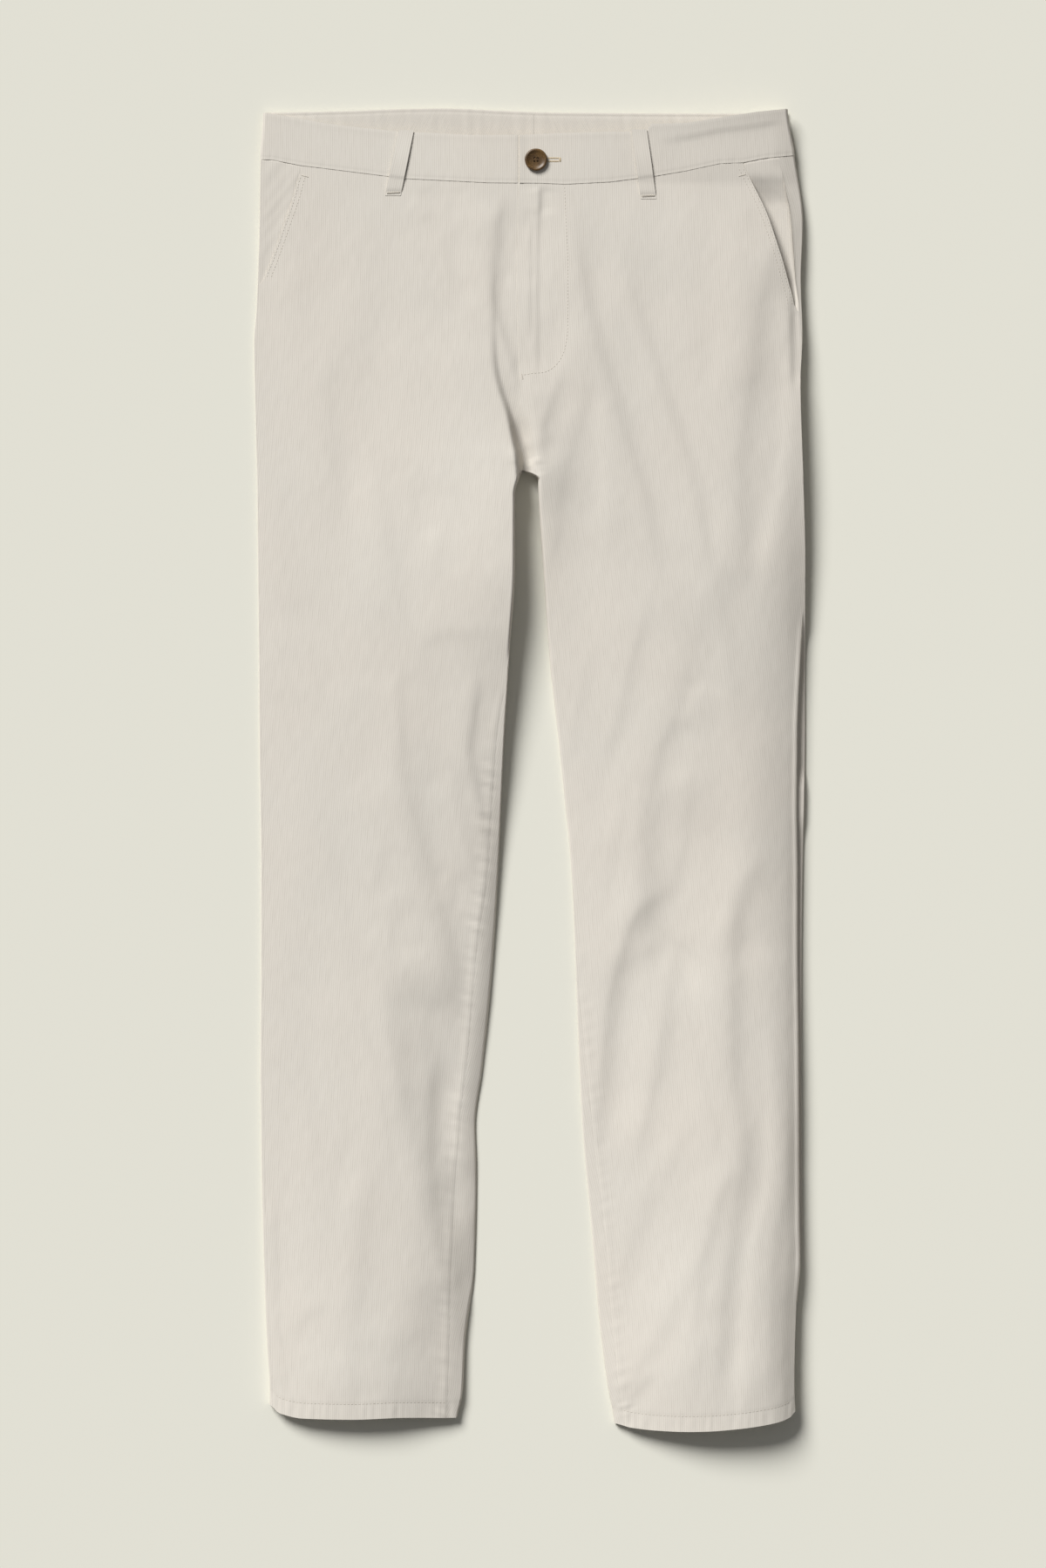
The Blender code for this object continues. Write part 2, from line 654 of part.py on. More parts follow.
def main():
    for old in list(bpy.data.objects):
        bpy.data.objects.remove(old, do_unlink=True)
    garment = bpy.data.objects.new("chinos", None)
    bpy.context.collection.objects.link(garment)
    for leg in (RIGHT, LEFT):
        panels(leg, garment)
        pocket_bearer(leg, garment)
        waistband(leg, garment)
    fly(garment)
    for loop in BELT_LOOPS:
        belt_loop(loop, garment)
    button(garment)


main()
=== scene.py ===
import math
from collections import namedtuple
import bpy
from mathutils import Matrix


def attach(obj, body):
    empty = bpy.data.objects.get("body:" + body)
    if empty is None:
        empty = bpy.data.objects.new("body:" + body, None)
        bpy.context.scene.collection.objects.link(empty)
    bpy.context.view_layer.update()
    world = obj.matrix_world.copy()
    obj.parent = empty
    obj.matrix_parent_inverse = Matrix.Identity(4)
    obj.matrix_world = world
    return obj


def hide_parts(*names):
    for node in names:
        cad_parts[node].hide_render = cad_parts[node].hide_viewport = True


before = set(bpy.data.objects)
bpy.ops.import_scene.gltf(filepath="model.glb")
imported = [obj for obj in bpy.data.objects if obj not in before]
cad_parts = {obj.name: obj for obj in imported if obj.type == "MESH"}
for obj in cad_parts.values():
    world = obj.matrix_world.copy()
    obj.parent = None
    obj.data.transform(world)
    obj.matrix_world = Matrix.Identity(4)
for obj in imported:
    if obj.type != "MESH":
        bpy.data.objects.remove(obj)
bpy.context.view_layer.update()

from types import SimpleNamespace

import bpy
import numpy as np
from mathutils import Vector

# Flat-laid chinos, front side up. The tables are in millimetres: x to the wearer's left, and
# "down" the distance below the top of the back waist. z = 0 is the surface they lie on.
mm = 0.001

cloth = {
    "length": 1077.6,
    "wall": 1.2,
    "seamGap": 0.04,  # between two panels
    "sideHeight": 1.6,  # where the underside has turned up into the side fold
    "roll": 0.6,  # how far in the upper side is rounded
    "droopReach": 16,  # how far in the hanging inner edge reaches
    "flyLap": 0.5,  # how far the left front laps over the right below the fly
    "pleat": 0.22,  # spacing of the columns of the back where they gather at its middle
    "waistLift": 2.0,  # the back belt loops hold the waist off the surface
    "liftEnds": (62, 115),
}
halfGap = cloth["seamGap"] / 2

# Where the legs part. power: how round the fork between them is.
crotch = {"x": -5.3, "down": 296.5, "power": 1.35}


# Curves and easing

def ease(t):
    t = np.clip(t, 0, 1)
    return t * t * (3 - 2 * t)


def bell(t):
    return np.exp(-0.5 * t * t)


# Rises from 0 at "start" over "rise", and falls back to 0 at "end" over "fall"
def window(at, start, rise, end, fall):
    return ease((at - start) / rise) * ease((end - at) / fall)


# Which stretch of a rising list each place lies in, how long it is, and the share gone by
def findStretch(places, at):
    k = np.clip(np.searchsorted(places, at, side="right") - 1, 0, len(places) - 2)
    length = places[k + 1] - places[k]
    return k, length, (at - places[k]) / length


# The way from one value to the next that leaves and arrives with the given slopes
def smoothStep(t, length, start, end, leaving, arriving):
    head = (1 + 2 * t) * (1 - t) ** 2 * start + t * (1 - t) ** 2 * length * leaving
    tail = t * t * (3 - 2 * t) * end - t * t * (1 - t) * length * arriving
    return head + tail


# A smooth curve through (place, value) rows that never overshoots them
def smoothCurve(rows):
    places, values = np.array(rows, float).T
    slopes = np.diff(values) / np.diff(places)
    tangents = np.zeros(len(places))
    for i in range(1, len(slopes)):
        if slopes[i - 1] * slopes[i] > 0:
            tangents[i] = 2 * slopes[i - 1] * slopes[i] / (slopes[i - 1] + slopes[i])

    def read(at):
        k, length, t = findStretch(places, np.clip(at, places[0], places[-1]))
        return smoothStep(t, length, values[k], values[k + 1], tangents[k], tangents[k + 1])

    return read


# One smooth curve for each column beside the first, which holds the places
def columnCurves(rows):
    places, *columns = zip(*rows)
    return [smoothCurve(list(zip(places, column))) for column in columns]


def straightCurve(rows):
    places, values = np.array(rows, float).T
    return lambda at: np.interp(at, places, values)


# The distance gone by at each point of a line
def lengthsAlong(points):
    steps = np.linalg.norm(np.diff(points, axis=0), axis=1)
    return np.concatenate([[0], np.cumsum(steps)])


# Points every few millimetres along a smooth line through the given ones
def tracedLine(points, spacing=2.0):
    points = np.array(points, float)
    along = lengthsAlong(points)
    count = max(3, int(along[-1] / spacing) + 1)
    slopes = np.gradient(points, along, axis=0)
    k, length, t = findStretch(along, np.linspace(0, along[-1], count))
    return smoothStep(t[:, None], length[:, None], points[k], points[k + 1], slopes[k], slopes[k + 1])


# A wavering line with no repeat, for puckers along a seam
def waver(t, pitch, seed):
    total = 0
    for k, share in enumerate((1, 0.7, 0.5)):
        turn = 2 * math.pi / (pitch * (1 + 0.37 * k))
        total = total + share * np.sin(t * turn + seed * (k + 1.7) + 1.6 * np.sin(t * turn * 0.23 + seed))
    return total / 1.6


# The two legs. sections: down, the outer and the inner edge, and how far in from them the
# outseam and the inseam lie. heights: down, and how high the upper side stands at each of
# "places", which are shares of the width from the viewer's left. notch: how far the crotch
# takes to open. droop: how much the inner edge hangs. mouth: how far in the pocket mouth lies.
# hem: its line. lean: how far the ribs of the front have leaned outwards. ruck: puckers
# beside the inseam.
def makeLeg(name, side, notch, sections, places, heights, **curves):
    leg = SimpleNamespace(name=name, side=side, notch=notch, places=np.array(places))
    leg.base = crotch["down"] + notch
    leg.outer, leg.inner, leg.outerSeam, leg.inseam = columnCurves(sections)
    leg.heights = columnCurves(heights)
    leg.mouthEnd = curves["mouth"][-1]
    for label, rows in curves.items():
        setattr(leg, label, smoothCurve(rows))
    return leg


right = makeLeg(
    "right", -1, 19.0,
    sections=(
        (0, -216.6, -11.8, 0.6, 0.1),
        (40, -219.4, -11.8, 0.8, 0.1),
        (95, -220.4, -11.8, 0.8, 0.1),
        (165, -222.9, -11.8, 0.8, 0.1),
        (190, -224.7, -11.8, 0.8, 0.1),
        (303, -222.3, -11.8, 0.8, 0.1),
        (374, -221.5, -11.9, 0.8, 0.1),
        (445, -220.8, -16.3, 1.0, 0.4),
        (516, -220.3, -20.7, 1.2, 6.4),
        (623, -219.0, -25.6, 1.6, 8.6),
        (700, -219.0, -30.2, 1.8, 14.2),
        (785, -219.5, -38.7, 2.2, 13.1),
        (829, -219.0, -44.4, 2.4, 12.4),
        (865, -218.6, -43.4, 2.5, 16.5),
        (945, -216.5, -45.1, 2.5, 18.8),
        (1008, -214.0, -52.5, 2.5, 13.2),
        (1046, -211.9, -54.3, 2.5, 12.4),
        (1075, -212.6, -59.6, 2.5, 9.0),
    ),
    places=(0, 0.1, 0.3, 0.6, 0.72, 0.85, 1),
    heights=(
        (0, 5.5, 6.5, 8.5, 10.5, 11.2, 12, 12),
        (60, 5, 6.2, 9, 12, 13, 14, 14),
        (150, 2.8, 5.3, 9, 13.5, 15, 16.5, 17),
        (250, 2.3, 4.7, 8.5, 13.4, 15.2, 17.2, 18.5),
        (291, 2.2, 4.6, 8.5, 13.2, 14.9, 16.9, 18.5),
        (325, 2.2, 4.6, 8.5, 13.2, 15, 17.3, 19),
        (374, 2.2, 4.6, 8.5, 13.1, 14.7, 16.9, 19),
        (420, 2.2, 4.6, 8.5, 13, 14.3, 16, 17.6),
        (460, 2.2, 4.6, 8.5, 12.7, 13.6, 14.7, 15),
        (540, 2.2, 4.5, 8.2, 12, 12.3, 12.8, 12.2),
        (600, 2.2, 4.5, 8, 11.3, 11.5, 11.7, 10.6),
        (640, 2.2, 4.4, 7.8, 11.3, 11.3, 11.3, 9.8),
        (700, 2.3, 4.4, 8, 12, 11.3, 10.2, 9),
        (785, 2.5, 4.5, 8.4, 12.6, 11, 8.4, 7.6),
        (865, 2.7, 5.2, 9.8, 13.2, 13, 10.6, 7.8),
        (945, 3.8, 6.8, 11.6, 14.6, 14, 11, 6.8),
        (1008, 6, 9.4, 14.2, 16.6, 14.6, 11.2, 7),
        (1040, 6.8, 10.6, 15.6, 17.4, 15, 11.4, 7.2),
        (1068, 7, 11, 15.8, 17.2, 14.8, 11.2, 7.4),
    ),
    droop=(
        (440, 0), (500, 0.6), (560, 2.2), (620, 4.2), (700, 4.8), (785, 4.6), (850, 4), (950, 3.6),
        (1030, 1.6), (1068, 0.8),
    ),
    mouth=((44, 34.5), (60, 30.6), (73, 27.3), (94, 20.4), (109, 15.6), (126, 10.0), (139, 6.0)),
    hem=((-213, 1057), (-203.4, 1064), (-184, 1067.8), (-144, 1068.3), (-105, 1067), (-59, 1067.8)),
    lean=((40, 0), (200, 3), (300, 10), (400, 19), (600, 36), (800, 49), (1075, 62)),
    ruck=(
        (480, 0), (530, 0.36), (570, 0.5), (610, 0.36), (650, 0.5), (710, 0.36), (770, 0.2),
        (850, 0.24), (900, 0.12), (1060, 0.2),
    ),
)
left = makeLeg(
    "left", 1, 6.0,
    sections=(
        (0, 210.0, 6.9, 8.0, 0.1),
        (40, 216.3, 6.9, 13.0, 0.1),
        (95, 223.2, 6.9, 9.6, 0.1),
        (140, 221.5, 6.9, 4.6, 0.1),
        (185, 222.6, 6.9, 1.4, 0.1),
        (225, 221.0, 6.9, 0.8, 0.1),
        (303, 223.2, 6.9, 0.8, 0.1),
        (374, 225.0, 11.0, 0.8, 0.1),
        (445, 225.0, 16.0, 4.6, 0.1),
        (516, 225.0, 23.8, 7.4, 0.1),
        (560, 224.4, 28.4, 7.2, 0.1),
        (623, 222.9, 34.4, 5.0, 0.2),
        (700, 222.0, 37.8, 4.0, 1.2),
        (765, 221.9, 40.1, 3.2, 4.6),
        (836, 222.0, 43.7, 2.9, 8.0),
        (907, 222.6, 50.1, 3.2, 9.8),
        (944, 221.2, 53.2, 1.4, 10.1),
        (983, 217.4, 56.4, 1.0, 10.0),
        (1039, 216.0, 63.3, 1.0, 8.8),
        (1080, 217.2, 69.6, 1.0, 7.8),
    ),
    places=(0, 0.15, 0.4, 0.62, 0.8, 0.92, 1),
    heights=(
        (0, 12, 12, 11.5, 11, 10, 8, 6),
        (60, 14, 14, 14, 14, 13, 11.2, 6.6),
        (150, 17, 17.3, 18, 18.2, 17.6, 15.4, 10),
        (250, 18.5, 18.8, 20, 20.8, 20.4, 18.4, 16.2),
        (291, 18.5, 18, 20.4, 21.8, 21.6, 19.4, 16.6),
        (335, 13, 15.2, 20.6, 22.6, 22.2, 19.8, 15.4),
        (380, 9, 12.8, 20.4, 22.8, 22, 18.6, 12.4),
        (450, 5.8, 10.6, 18.4, 21.6, 21, 15.2, 8.2),
        (516, 3.8, 9, 16.4, 19.8, 19.8, 13.9, 7.2),
        (623, 2.5, 6.8, 14.2, 17.6, 18.6, 13.8, 6.4),
        (700, 2.3, 6.4, 13.2, 17.2, 18.8, 14.3, 7),
        (785, 2.3, 6.6, 13.4, 17.4, 19.2, 15.4, 8.6),
        (836, 2.3, 6.8, 14.2, 18.4, 19.6, 17, 9),
        (907, 2.5, 7.4, 15.6, 20, 21, 17.4, 9.6),
        (983, 3.2, 9.2, 18.6, 22.8, 23.2, 19.2, 11.8),
        (1039, 4.6, 11.8, 21, 24.6, 24.6, 20.4, 13),
        (1080, 4.6, 11.8, 20.6, 24.2, 24.4, 20.4, 13.6),
    ),
    droop=((300, 0), (1080, 0)),  # it doesn't hang
    mouth=((40, 44.5), (57, 40.0), (84, 30.7), (104, 23.8), (128, 14.9), (144, 10.3), (162, 6.6)),
    hem=(
        (68.3, 1072.6), (82.7, 1075.6), (103, 1077.4), (124, 1077.9), (145, 1077.3), (166, 1075.5),
        (189, 1072.4), (204, 1069.4), (212, 1066.3), (217, 1062),
    ),
    lean=((40, 0), (200, 5), (300, 14), (400, 26), (600, 46), (800, 62), (1080, 83)),
    ruck=((640, 0), (760, 0.12), (860, 0.16), (1000, 0.15), (1075, 0.24)),
)
legs = (right, left)

# Edges that cross the garment: (x, down)
bandTop = straightCurve((
    (-216.9, 3.6), (-192.8, 7.8), (-168.6, 12.4), (-143, 15.9), (-105.4, 19.9), (-79.2, 21.1),
    (-47.9, 22.7), (-5.3, 22.7), (25.2, 21.3), (56.4, 20.6), (95.5, 20.2), (98.5, 14.0),
    (127.4, 13.5), (155, 9.2), (184.9, 4.3), (210.5, 1.4),
))
bandSeam = straightCurve((
    (-219, 41.9), (-209.8, 42.2), (-187, 46.9), (-149.5, 51.8), (-100.5, 58.2), (-33.7, 61.8),
    (8.9, 62.1), (28.8, 63.0), (65.7, 61.1), (101.2, 56.6), (127.4, 52.2), (155.1, 46.2),
    (173.6, 45.4), (190.6, 41.9), (215.5, 39.0),
))
backTop = smoothCurve((
    (-216.9, 3.6), (-155.8, 2.5), (-96.9, 0.5), (-72.8, 0.2), (-11.7, 2.6), (23, 3.6),
    (135.3, 4.3), (185, 4.3), (204.8, 1.8), (210.5, 1.4),
))
backSeam = straightCurve(((-219, 41.9), (215.5, 39.0)))
flyEdge = straightCurve(((0, -8.2), (63, -8.6), (133, -10.2), (218, -7.6), (crotch["down"], crotch["x"])))
centreBack = straightCurve(((0, 3.9), (140, 1.0), (crotch["down"], crotch["x"])))

# Creases: lines that the cloth falls away from. slope: how steeply it falls towards the
# viewer's right of a line that runs down (it rises if negative). left, right: how far to each
# side. fade: how gently the ends die out. reach: where the fall is made good again.
Crease = namedtuple("Crease", "slope left right path fade reach", defaults=(45, 22))
creases = (
    # right hip
    (0.08, 6, 8, [(-158, 190), (-163, 240), (-158, 290), (-152, 340)], 50),
    (0.05, 6, 6, [(-163, 112), (-160, 160)]),
    (0.04, 5, 5, [(-186, 115), (-184, 172)]),
    (0.04, 8, 8, [(-130, 165), (-128, 200)]),
    (0.09, 3, 6, [(-67, 95), (-65, 136), (-60, 165)], 30),
    (0.07, 2.5, 3, [(-81, 160), (-72, 180), (-62, 205), (-50, 237)], 30, 14),
    (0.08, 4, 4, [(-92, 70), (-84, 79), (-76, 89)], 10, 10),
    (0.05, 3, 4, [(-66, 68), (-60, 80)], 8, 8),
    # the tucks that run down into the crotch
    (0.20, 4, 5, [(-21, 76), (-25, 98), (-27, 125), (-28, 158)], 30, 18),
    (0.30, 2, 3.6, [(-31, 140), (-27, 165), (-20, 188), (-14, 207), (-10, 229)], 30, 11),
    (0.6, 1.2, 2.5, [(-7, 276), (-3.5, 292)], 8, 6),
    (0.35, 0.6, 1.2, [(3.5, 289), (5, 301)], 5, 5),
    (-0.10, 5, 5, [(-3, 224), (-2, 245), (4, 282)], 16, 12),
    # right thigh
    (0.09, 7, 6, [(-129, 286), (-118, 330), (-110, 370), (-102, 405), (-97, 428)], 45),
    (0.07, 4, 10, [(-91, 296), (-95, 335), (-91, 362)], 28, 20),
    (0.06, 4, 5, [(-72, 340), (-72, 385)], 22, 14),
    (0.04, 4, 4, [(-40, 343), (-42, 377)], 16, 12),
    (0.05, 3, 6, [(-28, 426), (-50, 429), (-72, 431), (-88, 440)], 26, 18),
    (0.07, 6, 6, [(-207, 413), (-190, 425), (-178, 440), (-170, 465), (-165, 487)], 30),
    # right knee
    (0.13, 3, 4, [(-106, 456), (-104, 490), (-103, 530), (-102, 545)], 30, 16),
    (0.19, 8, 6, [
        (-108, 520), (-95, 568), (-86, 600), (-79, 625), (-68, 665), (-60, 705), (-57, 740),
    ], 60, 26),
    (0.22, 3, 3, [(-41, 462), (-45, 500), (-48, 527), (-44, 545), (-39, 570), (-35, 602)], 34, 11),
    (0.13, 4, 5, [(-62, 540), (-57, 570), (-48, 600), (-42, 630)], 30, 18),
    (0.06, 3, 6, [(-119, 598), (-122, 620), (-126, 642)], 18, 14),
    (0.08, 2, 8, [(-109, 642), (-113, 668), (-112, 698)], 22, 18),
    (0.05, 4, 4, [(-165, 600), (-155, 640), (-140, 692)], 35),
    (0.10, 3, 3, [(-62, 624), (-62, 656)], 12, 10),
    # right calf
    (0.13, 4, 14, [(-115, 705), (-112, 745), (-106, 785), (-98, 825), (-88, 870), (-80, 920)], 50, 34),
    (0.03, 4, 7, [(-64, 731), (-90, 728), (-114, 721)], 24, 18),
    (0.08, 4, 6, [(-84, 725), (-84, 765), (-78, 815)], 34, 18),
    (0.22, 4, 7, [
        (-74, 772), (-79, 812), (-80, 850), (-78, 880), (-74, 915), (-69, 945), (-63, 985),
    ], 44, 20),
    (0.22, 4, 6, [(-67, 855), (-64, 900), (-60, 935), (-57, 975)], 30, 15),
    (0.07, 2, 2, [
        (-151, 698), (-140, 730), (-130, 765), (-122, 800), (-115, 840), (-109, 874),
    ], 40, 12),
    (0.05, 3, 3, [(-147, 828), (-156, 862), (-162, 898)], 25, 14),
    (0.09, 9, 6, [(-129, 866), (-133, 900), (-137, 950), (-142, 1004)], 45),
    (0.06, 4, 4, [(-189, 742), (-180, 800), (-171, 874)], 40),
    (0.11, 6, 1.5, [(-206, 890), (-205, 950), (-203, 1000), (-195, 1048)], 30, 12),
    (0.07, 4, 4, [(-150, 1008), (-143, 1030), (-143, 1056)], 16, 12),
    (0.035, 5, 5, [(-82, 994), (-98, 1006), (-114, 1026)], 18, 16),
    (0.05, 5, 5, [(-168, 976), (-185, 990), (-195, 1012)], 16, 14),
    # left hip: the long folds that fan down from the waist
    (0.23, 4, 6, [
        (37, 92), (44, 135), (51, 172), (60, 205), (71, 240), (81, 274), (94, 316), (108, 380),
    ], 75, 32),
    (0.20, 4, 5, [
        (76, 122), (85, 155), (93, 178), (102, 205), (114, 240), (125, 275), (137, 316),
        (150, 386),
    ], 65, 30),
    (0.07, 4, 6, [(66, 148), (76, 190), (84, 230)], 40, 16),
    (0.15, 6, 8, [
        (201, 112), (189, 165), (184, 205), (178, 245), (173, 290), (174, 335), (178, 390),
    ], 60, 26),
    (-0.12, 6, 6, [(211, 190), (208, 260), (202, 310), (192, 352), (184, 390)], 60, 16),
    (0.05, 8, 8, [(122, 62), (160, 100), (190, 127)], 35),
    (0.36, 1.6, 2.4, [(213.5, 150), (213, 176), (213.5, 202), (214, 230)], 22, 7),
    (-0.08, 5, 9, [(30, 170), (24, 205), (16, 240)], 30, 20),
    (-0.10, 4, 8, [(52, 210), (56, 260), (58, 305), (56, 355)], 50, 18),
    (-0.07, 5, 8, [(150, 185), (153, 240)], 30, 18),
    (-0.08, 4, 8, [(147, 325), (151, 365), (151, 395)], 30, 16),
    (0.14, 3, 4, [(29, 210), (20, 236), (13, 262), (10, 290)], 26, 14),
    (0.09, 4, 5, [(52, 218), (40, 262), (31, 292), (25, 320), (22, 350), (18, 396)], 50, 16),
    (0.05, 3, 4, [(8, 264), (-1, 250)], 8, 8),
    # left knee: a broad plane that turns away from the light, and the folds on it
    (0.06, 8, 14, [
        (158, 362), (146, 410), (132, 450), (124, 488), (112, 512), (103, 548), (99, 610),
    ], 70, 26),
    (0.09, 4, 9, [(150, 360), (156, 400), (162, 440), (166, 480), (174, 530)], 55, 26),
    (0.11, 3, 6, [(98, 400), (85, 450), (78, 480), (71, 505), (60, 545)], 45),
    (0.06, 4, 4, [(51, 436), (42, 490), (32, 540)], 34),
    (0.09, 2, 7, [(127, 478), (116, 502), (106, 522), (101, 552)], 26, 18),
    (-0.10, 4, 7, [(139, 466), (130, 486), (118, 500)], 14, 13),
    (0.09, 4, 5, [(77, 530), (75, 580), (66, 618), (60, 660)], 40),
    (0.10, 5, 4, [(133, 540), (128, 590), (117, 645)], 36),
    # left calf: a hooked fold below a wedge of shade, then a fan of small ones down to the hem
    (0.21, 8, 16, [(94, 550), (96, 600), (97, 640), (99, 690), (101, 735)], 70, 34),
    (0.25, 3.5, 8, [
        (114, 636), (102, 645), (91, 655), (83, 668), (77, 688), (70, 712), (64, 750), (61, 790),
        (58, 845),
    ], 66, 26),
    (0.05, 6, 7, [(114, 680), (98, 688), (82, 698), (68, 706)], 26, 16),
    (0.15, 4, 7, [(122, 680), (114, 725), (109, 760), (103, 792), (97, 820), (88, 862)], 50, 20),
    (0.08, 3, 2, [(121, 690), (130, 740), (139, 780), (148, 815), (157, 860)], 40, 12),
    (0.12, 5, 8, [(190, 610), (168, 655), (158, 705)], 40),
    (0.22, 6, 8, [
        (172, 640), (168, 700), (167, 750), (169, 800), (176, 838), (175, 868), (169, 900),
        (165, 930), (161, 960), (158, 1000), (153, 1045),
    ], 60, 22),
    (-0.10, 4, 5, [(191, 740), (195, 830), (192, 875), (181, 920), (174, 985), (167, 1085)], 60, 18),
    (0.14, 5, 5, [(168, 862), (158, 885), (150, 915), (141, 950), (137, 985), (138, 1010)], 34, 14),
    (0.10, 3, 7, [(213, 830), (210, 880), (203, 910), (199, 940), (198, 985), (196, 1050)], 44, 16),
    (0.08, 3, 4, [(152, 960), (142, 1008), (131, 1045)], 32, 16),
    (0.08, 3, 4, [(128, 950), (106, 1000), (84, 1036), (72, 1060)], 40, 18),
    (0.10, 3, 3, [(102, 1030), (76, 1061)], 14, 9),
    (0.05, 3, 3, [(140, 934), (118, 990), (97, 1030)], 34, 14),
    (0.08, 5, 5, [(104, 870), (92, 910), (82, 936), (75, 980)], 40),
    (0.05, 4, 4, [(131, 826), (111, 882)], 26),
    # marks of the fly's facing and zip under the left front
    (0.40, 1.2, 1.6, [(8.6, 65), (8.6, 88)], 7, 7),
    (0.26, 0.9, 1.1, [(8.2, 80), (7, 120), (6.7, 216)], 20, 5),
    (0.20, 0.9, 1.1, [(0.9, 98), (0.4, 150), (0.4, 190)], 22, 5),
)

creaseLines = []
for row in creases:
    crease = Crease(*row)
    line = tracedLine(crease.path)
    tangents = np.gradient(line, axis=0)
    tangents /= np.linalg.norm(tangents, axis=1, keepdims=True)
    creaseLines.append((crease, line, tangents, lengthsAlong(line)))


def creaseHeight(x, down):
    spots = np.stack([np.ravel(x), np.ravel(down)], 1)
    total = np.zeros(len(spots))
    for crease, line, tangents, along in creaseLines:
        far = 3 * crease.reach
        near = ((spots > line.min(0) - far) & (spots < line.max(0) + far)).all(1)
        if not near.any():
            continue
        points = spots[near]
        gaps = (points**2).sum(1)[:, None] - 2 * points @ line.T + (line**2).sum(1)
        k = gaps.argmin(1)
        offset = points - line[k]
        across = offset[:, 0] * tangents[k, 1] - offset[:, 1] * tangents[k, 0]
        place = along[k] + (offset * tangents[k]).sum(1)
        over = crease.fade / 4  # how far the fall runs on past the ends
        fade = window(place, -over, crease.fade, along[-1] + over, crease.fade)
        width = np.where(across < 0, crease.left, crease.right)
        fall = 1.25 * width * np.tanh(0.8 * across / width)
        reach = crease.reach * (0.35 + 0.65 * fade)
        total[near] -= crease.slope * fall * bell(across / reach) * fade
    return total.reshape(np.shape(x))


# Uneven swell of the cloth: long waves that run down the legs, and a fine crumple
swells = (
    {"waves": 16, "height": 0.24, "across": (34, 120), "along": (140, 520), "seed": 11},
    {"waves": 22, "height": 0.05, "across": (9, 26), "along": (14, 60), "seed": 4},
)
swellStart = {"down": 60, "over": 30}  # the waistband stays even


def makeWaves(swell):
    chance = np.random.default_rng(swell["seed"])
    waves = []
    for _ in range(swell["waves"]):
        across = 2 * math.pi / chance.uniform(*swell["across"])
        along = 2 * math.pi / chance.uniform(*swell["along"]) * chance.choice((-1, -1, -1, 1))
        waves.append((across, along, chance.uniform(0, 2 * math.pi), chance.uniform(0.5, 1)))
    return swell["height"] / math.sqrt(swell["waves"]), waves


swellWaves = [makeWaves(swell) for swell in swells]


def swellHeight(x, down):
    total = 0
    for height, waves in swellWaves:
        for across, along, phase, share in waves:
            total = total + height * share * np.sin(x * across + down * along + phase)
    return total


# The right thigh stands above the crotch, from a fold that deepens towards the notch. rise,
# width: of the cliff along the line. spread: how far back the thigh is raised. pit: the hollow
# beside the cliff.
thigh = {
    "line": smoothCurve((
        (140, -30), (186, -29), (208, -28), (230, -23.5), (250, -17), (268, -13), (285, -9),
        (303, -7), (325, -4),
    )),
    "rise": smoothCurve((
        (110, 0), (150, 0.5), (186, 1.5), (208, 2.6), (230, 3.5), (250, 4.6), (270, 6.2), (287, 7.9),
        (325, 10.2), (374, 11.8), (420, 9.8), (460, 6.8), (540, 3), (600, 0.9), (640, 0),
    )),
    "width": smoothCurve(((180, 6.5), (270, 6), (288, 8))),
    "spread": 72,
    "pit": smoothCurve(((195, 0), (230, 1), (252, 3), (272, 7), (296, 9))),
    "pitX": smoothCurve(((195, -24), (230, -17), (252, -11), (272, -7), (296, -5))),
    "pitWidth": 5.6,
}


def thighHeight(x, down):
    beyond = x - thigh["line"](down)
    cliff = 1 - ease(beyond / thigh["width"](down) + 0.5)
    pit = thigh["pit"](down) * bell((x - thigh["pitX"](down)) / thigh["pitWidth"]) * (1 - cliff)
    return thigh["rise"](down) * cliff * bell(np.minimum(beyond, 0) / thigh["spread"]) - pit


# The fork between the legs: its half width, how steep its side is, and the rise above its foot
def fork(leg, down):
    width = np.abs(leg.inner(np.maximum(down, leg.base)) - crotch["x"])
    steep = width / leg.notch
    return width, steep, np.maximum(0, leg.base - down) * steep


# How far in from the outer and the inner edge a point lies, and the way out over the inner one
def edgesOf(leg, x, down):
    width, steep, rise = fork(leg, down)
    reach = np.maximum(np.abs(x - crotch["x"]), 1e-6)
    power = crotch["power"]
    total = (reach**power + rise**power) ** (1 / power)
    across = (reach / total) ** (power - 1)
    up = (rise / total) ** (power - 1) * steep
    length = np.hypot(across, up)
    return leg.side * (leg.outer(down) - x), total - width, (leg.side * across / length, up / length)


# Height of the upper side before its folds: a smooth curve from edge to edge through each row
def topHeight(leg, x, down):
    sides = [leg.outer(down), leg.inner(np.maximum(down, leg.base))]
    first, last = sides[:: -leg.side]
    share = np.clip((x - first) / (last - first), 0, 1)
    rows = np.stack(np.broadcast_arrays(*[height(down) for height in leg.heights], share))[:-1]
    slopes = np.diff(rows, axis=0) / np.diff(leg.places).reshape(-1, *[1] * np.ndim(share))
    tangents = np.concatenate([slopes[:1], (slopes[1:] + slopes[:-1]) / 2, slopes[-1:]])
    k, length, t = findStretch(leg.places, share)

    def at(table, index):
        return np.take_along_axis(table, index[None], 0)[0]

    return smoothStep(t, length, at(rows, k), at(rows, k + 1), at(tangents, k), at(tangents, k + 1))


# How much a rounded edge faces outwards and upwards, at a distance in from it
def turned(distance, radius):
    outwards = np.clip(1 - distance / radius, 0, 1)
    return outwards, np.sqrt(1 - outwards**2)


def waistLift(down):
    start, end = cloth["liftEnds"]
    return cloth["waistLift"] * (1 - ease((down - start) / (end - start)))


